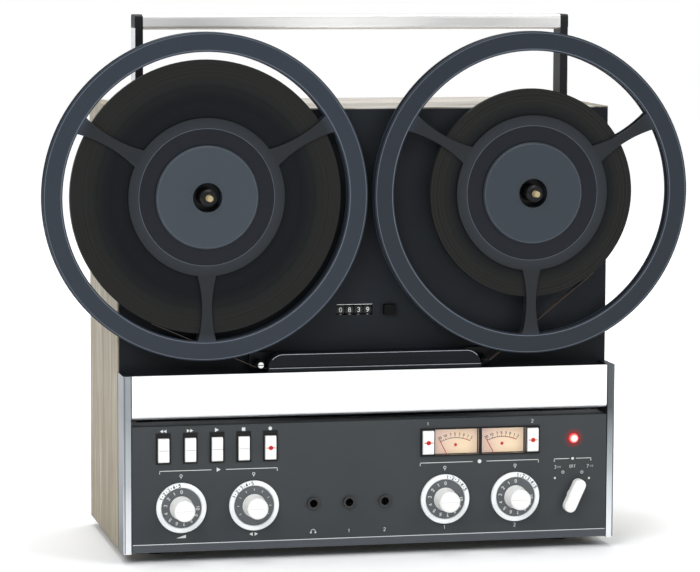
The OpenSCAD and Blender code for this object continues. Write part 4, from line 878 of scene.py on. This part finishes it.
for control, (u, v), start in zip(CONTROLS, ring_spots, RING_STARTS):
    ring, knob = control + "_ring", control + "_knob"
    turns = start + np.arange(5) * RING_STEP
    marks = [figures(str(5 - place), FIGURE, *around(u, v, RING_R, turn), turn - 90, BOLD)
             for place, turn in enumerate(turns)]
    marks += [tick(u, v, RING_R - 0.6, RING_R + 0.6, turn + RING_STEP / 2, 0.5) for turn in turns[:-1]]
    print_on(ring + "_figures", marks, front_of(ring), black_ink, ring)
    if control == "balance":
        marks = [tick(u, v, DIAL_R - 0.9, DIAL_R + 0.9, 90 + step, 0.45) for step in range(-120, 121, 30)]
    else:
        marks = [figures(str(step), FIGURE, *around(u, v, DIAL_R, 90 + turn), turn, BOLD)
                 for step, turn in enumerate(DIAL_STEP * np.arange(11))]
    print_on(control + "_dial_figures", marks, front_of(ring) + DIAL_SINK, white_ink, knob)
    mark = dash(u - KNOB_HALF, u + KNOB_HALF, v, 0.3)
    print_on(knob + "_line", [mark], front_of(knob), dial_ink, knob)
print("controls printed:", len(CONTROLS))

# %% [markdown]
# A thin grey line across the middle of each key is painted shade in the crease where the thumb rocks it.
# The keys that record have a red dot on a short red line instead.

# %% Key marks
THUMB_HALF, DOT_HALF, DOT_R = 3.9, 3.6, 1.9
for key, (u, v) in zip(KEYS + SELECTS, key_spots + select_spots):
    if key in KEYS[:-1]:
        mark = dash(u - THUMB_HALF, u + THUMB_HALF, v, 0.45)
        print_on(key + "_line", [mark], front_of(key), dial_ink, key)
    else:
        dot = [dash(u - DOT_HALF, u + DOT_HALF, v, 0.6), disc(u, v, DOT_R)]
        print_on(key + "_dot", dot, front_of(key), red_ink, key)
print("keys marked:", len(KEYS + SELECTS))

# %% [markdown]
# Each meter has a pale card behind its pane, lit from below by a small lamp, with a scale about the
# needle's hidden pivot: a dark arc, ticks, figures and a red end. The glow is a colour that warms with
# distance from the lamp.

# %% Lit card
CARD_W, CARD_H, CARD_DEPTH, CARD_GLOW = 36.6, 20.6, 4.5 * MM, 0.42
GLOW_U, GLOW_V, GLOW_SPAN = 7, -5, (2 * MM, 24 * MM)
WINDOW_W = 37.2
meter_low, meter_high = box_mm("meter_windows")
meter_v = (meter_low.z + meter_high.z) / 2
meter_us = (meter_low.x + WINDOW_W / 2, meter_high.x - WINDOW_W / 2)


def lit_card(name, u, v):
    """A cream card that glows, brightest low and right of the middle and peach towards its corners."""
    card = new_finish(name, (0.62, 0.46, 0.37), 0.7, glow=CARD_GLOW)
    away = radius_from(card, ((u + GLOW_U) * MM, 0.0, (v + GLOW_V) * MM))
    warm = mix_colors(card, ramp(card, away, *GLOW_SPAN), (1.0, 0.80, 0.42), (0.62, 0.44, 0.38))
    feed(card, warm, "Emission Color")
    effect = place_group(card, grain_group, Grain_Scale=3000.0, Tone_Scale=60.0)
    add_bump(card, effect.outputs["Grain"], 0.1, 0.00003)
    return card


print("meter middles:", [round(u, 1) for u in meter_us])

# %% Meter cards and scales
PIVOT_DROP, SCALE_R, SWING, SCALE_RISE = 25.0, 27.6, 28.0, 0.1 * MM
SCALE_TEXTS = ("20", "10", "7", "5", "3", "0", "1", "3")
stops = 90 + SWING - np.array([2.0, 11.0, 20.0, 27.0, 34.0, 41.0, 48.0, 54.0])
halves = (stops[1:] + stops[:-1]) / 2
pivot = meter_v - PIVOT_DROP
card_plane = panel_front + CARD_DEPTH
for side, u in zip(SIDES, meter_us):
    card = [plate(SQUARE * (CARD_W / 2, CARD_H / 2) + (u, meter_v))]
    paper = lit_card(side + "_card_paper", u, meter_v)
    print_on(side + "_meter_card", card, card_plane, paper, "cabinet")
    scale = [ribbon(arc(u, pivot, SCALE_R, SCALE_R, stops[0], stops[-3], 40), 0.4)]
    scale += [tick(u, pivot, SCALE_R, SCALE_R + 1.4, turn, 0.4) for turn in stops]
    scale += [tick(u, pivot, SCALE_R, SCALE_R + 0.8, turn, 0.25) for turn in halves]
    scale += [figures(text, 2.0, *around(u, pivot, SCALE_R + 3.1, turn), turn - 90, 0.2)
              for text, turn in zip(SCALE_TEXTS, stops)]
    print_on(side + "_meter_scale", scale, card_plane - SCALE_RISE, black_ink, "cabinet")
    red = [ribbon(arc(u, pivot, SCALE_R, SCALE_R, stops[-3], stops[-1], 12), 0.6),
           disc(u, meter_v - 3.2, 1.35)]
    print_on(side + "_meter_red", red, card_plane - SCALE_RISE, red_ink, "cabinet")
print("marks on a scale:", len(stops) + len(halves))

# %% [markdown]
# The counter's figures are printed on drums. A flat figure wraps around a drum when its height is read as
# an arc: the height divided by the radius is an angle, and each next figure stands a tenth of a turn
# higher.

# %% Counter figures
SHOWN = (0, 8, 3, 9)
FIGURE_H = 3.6


def wrap(shape, spot, radius, lift):
    """Bends a shape around an axis along X: angle is height over radius, thickness adds to the radius."""
    points, faces = shape
    turn = points[:, 1] / radius
    reach = radius + lift + points[:, 2]
    placed = [spot.x + points[:, 0], spot.y - reach * np.cos(turn), spot.z + reach * np.sin(turn)]
    return np.column_stack(placed) * MM, faces


for wheel, shown in zip(WHEELS, SHOWN):
    low, high = box_mm(wheel)
    radius = (high.z - low.z) / 2
    tenth = 2 * np.pi * radius / 10
    rises = ((np.arange(10) - shown + 4.5) % 10 - 4.5) * tenth
    drum = gather([figures(str(digit), FIGURE_H, 0, rise, 0, 0.14) for digit, rise in enumerate(rises)])
    points, faces = wrap(drum, (low + high) / 2, radius, CLEAR)
    add_piece(wheel + "_figures", points, faces, white_ink, wheel)
over_line = dash(-24.6, 5.1, 205.1, 0.4)
print_on("counter_line", [over_line], front_of("deck_plate"), dial_ink, "cabinet")
print("counter shows:", SHOWN)

# %% [markdown]
# Edges catch the light: the turned rims, the hub's rings and the moulded cover all show a thin bright line
# where two faces meet. A bevel on each solid would need many faces, so narrow pale ribbons laid along the
# edges stand in for it as painted highlights.

# %% Edge lines
slate_highlight_and_shade = grained("slate_highlight_and_shade", (0.085, 0.10, 0.125), 0.35, spread=0.08, grain=3000.0, specular=0.3)
pale_highlight = grained("pale_highlight", (0.36, 0.38, 0.42), 0.3, spread=0.08, grain=3000.0, specular=0.4)
EDGE_POINTS = 144
EDGES = (("_rim_highlights", "_spool", [(118.6, 0.7), (131.9, 0.5)], "reel_metal"),
         ("_hub_highlight", "_spool", [(55.6, 0.3)], "reel_metal"),
         ("_adapter_highlight", "_hub_adapter", [(40.7, 0.25)], "hub_grey"))
for side in SIDES:
    u, v = middle_mm(side + "_spool")
    for label, node, rings, slot in EDGES:
        edges = [circle(u, v, radius, width, EDGE_POINTS) for radius, width in rings]
        print_on(side + label, edges, front_of(side + node), slate_highlight_and_shade, side + "_reel")

cover_low, cover_high = box_mm("head_cover")
CORNER, LIP_V, LIP_STEP, LIP_INSET, EDGE_W = 12.0, 157.0, 1.2 * MM, 1.5, 0.35
left, right, top = cover_low.x + 1.4, cover_high.x - 1.4, cover_high.z - 0.3
edge = np.vstack([arc(left + CORNER, top - CORNER, CORNER, CORNER, 178, 92, 12),
                  line((left + CORNER, top), (right - CORNER, top), count=9)[1:-1],
                  arc(right - CORNER, top - CORNER, CORNER, CORNER, 88, 40, 9)])
edge = ribbon(edge[edge[:, 1] > LIP_V + 6.2], EDGE_W)
cover_front = front_of("head_cover")
print_on("cover_edge_highlight", [edge], cover_front + LIP_STEP, pale_highlight, "cabinet")
lip = dash(cover_low.x + LIP_INSET, cover_high.x - LIP_INSET, LIP_V - 0.3, EDGE_W, 9)
print_on("cover_lip_highlight", [lip], cover_front, pale_highlight, "cabinet")
print("edge lines laid on the reels and the cover")

# %% [markdown]
# The trims are extrusions with a groove down the front corner, whose shade is painted as a dark line, and a
# red-brown lipping closes the veneer behind them. Both are narrow plates that run the height of the trim.

# %% Trim lines
GROOVE_INSET, GROOVE_W = 1.1, 0.9
trim_low, trim_high = box_mm("side_trims")
groove_u = trim_high.x - GROOVE_INSET
groove_vs = np.array([trim_low.z + 0.5, (trim_low.z + trim_high.z) / 2, trim_high.z - 0.5])
groove = [ribbon(np.column_stack([np.full(3, way * groove_u), groove_vs]), GROOVE_W) for way in (-1, 1)]
# Painted shade: a dark ribbon where the groove's shade falls.
print_on("trim_groove_shade", groove, trim_front, slate_highlight_and_shade, "cabinet")
lipping_brown = grained("lipping_brown", (0.10, 0.045, 0.028), 0.6, spread=0.2, grain=2500.0, specular=0.2)


def side_plate(x, outline):
    """A plate on a side face, facing outwards: forward and up take the place of right and up."""
    points, faces = plate(outline)
    out = math.copysign(1.0, x)
    placed = np.column_stack([x + out * (CLEAR + points[:, 2]), out * points[:, 0], points[:, 1]]) * MM
    return placed, faces


case_front, wood_x = case_low.y / MM, case_high.x / MM
bottom, upper = case_low.z / MM + 0.5, trim_high.z
for way, label in zip((-1, 1), SIDES):
    near, far = sorted((way * (case_front + 0.1), way * (case_front + 1.0)))
    outline = [(near, bottom), (far, bottom), (far, upper), (near, upper)]
    points, faces = side_plate(way * wood_x, outline)
    add_piece(label + "_lipping", points, faces, lipping_brown, "cabinet")
print("trim lines and lippings at x", round(wood_x, 1))

# %% [markdown]
# Slotted screws hold the back cover and the connector plate. A head is a shallow dome over a disc, and its
# slot is a strip where the dome is lowered. Rows along the slot keep its walls straight, which a polar grid
# wouldn't.

# %% Back screws


def weld(points, faces):
    """Merges points that lie together and drops faces that shrink to nothing."""
    merged, place = np.unique(np.round(points, 7), axis=0, return_inverse=True)
    place = place.reshape(-1)
    kept = [list(dict.fromkeys(place[face].tolist())) for face in faces]
    return merged, [face for face in kept if len(face) > 2]


def screw_head(radius, dome=0.9, slot=0.8, depth=0.6):
    """Height: dome times one minus the squared share of the radius, less the depth inside the slot."""
    half = slot / 2
    rows = np.concatenate([np.linspace(-radius, -half, 9), [-half, half], np.linspace(half, radius, 9)])
    cut = np.zeros(len(rows))
    cut[9:11] = depth
    share = np.linspace(-1, 1, 17)
    v = np.repeat(rows[:, None], len(share), axis=1)
    u = share[None, :] * np.sqrt(np.clip(radius ** 2 - v ** 2, 0, None))
    top = np.clip(dome * (1 - (u ** 2 + v ** 2) / radius ** 2) - cut[:, None], 0, None)
    upper = np.stack([u, v, top], axis=2).reshape(-1, 3)
    lower = upper * (1, 1, 0)
    grid = np.arange(upper.shape[0]).reshape(u.shape)
    quads = np.stack([grid[:-1, :-1], grid[:-1, 1:], grid[1:, 1:], grid[1:, :-1]], axis=2).reshape(-1, 4)
    return np.vstack([upper, lower]), np.vstack([quads, quads[:, ::-1] + len(upper)])


def back_screws(name, spots, radius, surface, angle):
    """Screw heads on an upright face that looks to the back: right and up become minus X and Z."""
    head, faces = turn_to(weld(*screw_head(radius)), angle, 0.0, 0.0)
    shapes = [(np.column_stack([u - head[:, 0], surface + CLEAR + head[:, 2], v + head[:, 1]]), faces)
              for u, v in spots]
    points, all_faces = gather(shapes)
    return add_piece(name, points * MM, all_faces, screw_steel, "cabinet")


COVER_INSET, PLATE_INSET, MIDDLE_V = 8, 6, 190.0
screw_steel = grained("screw_steel", (0.55, 0.55, 0.56), 0.3, spread=0.1, grain=2500.0, metallic=1.0)
back_low, back_high = box_mm("rear_cover")
low_v, high_v = back_low.z + COVER_INSET, back_high.z - COVER_INSET
cover_u = back_high.x - COVER_INSET
cover_spots = [(way * cover_u, v) for way in (-1, 1) for v in (low_v, MIDDLE_V, high_v)]
cover_spots += [(0.0, low_v), (0.0, high_v)]
back_screws("back_cover_screws", cover_spots, 3.2, back_high.y, 20.0)
plate_low, plate_high = box_mm("rear_connectors")
plate_us = (plate_low.x + PLATE_INSET, plate_high.x - PLATE_INSET)
plate_vs = (plate_low.z + PLATE_INSET, plate_high.z - PLATE_INSET)
plate_spots = [(u, v) for u in plate_us for v in plate_vs]
back_screws("connector_plate_screws", plate_spots, 2.4, back_high.y, 65.0)
print("screws on the back:", len(cover_spots) + len(plate_spots))
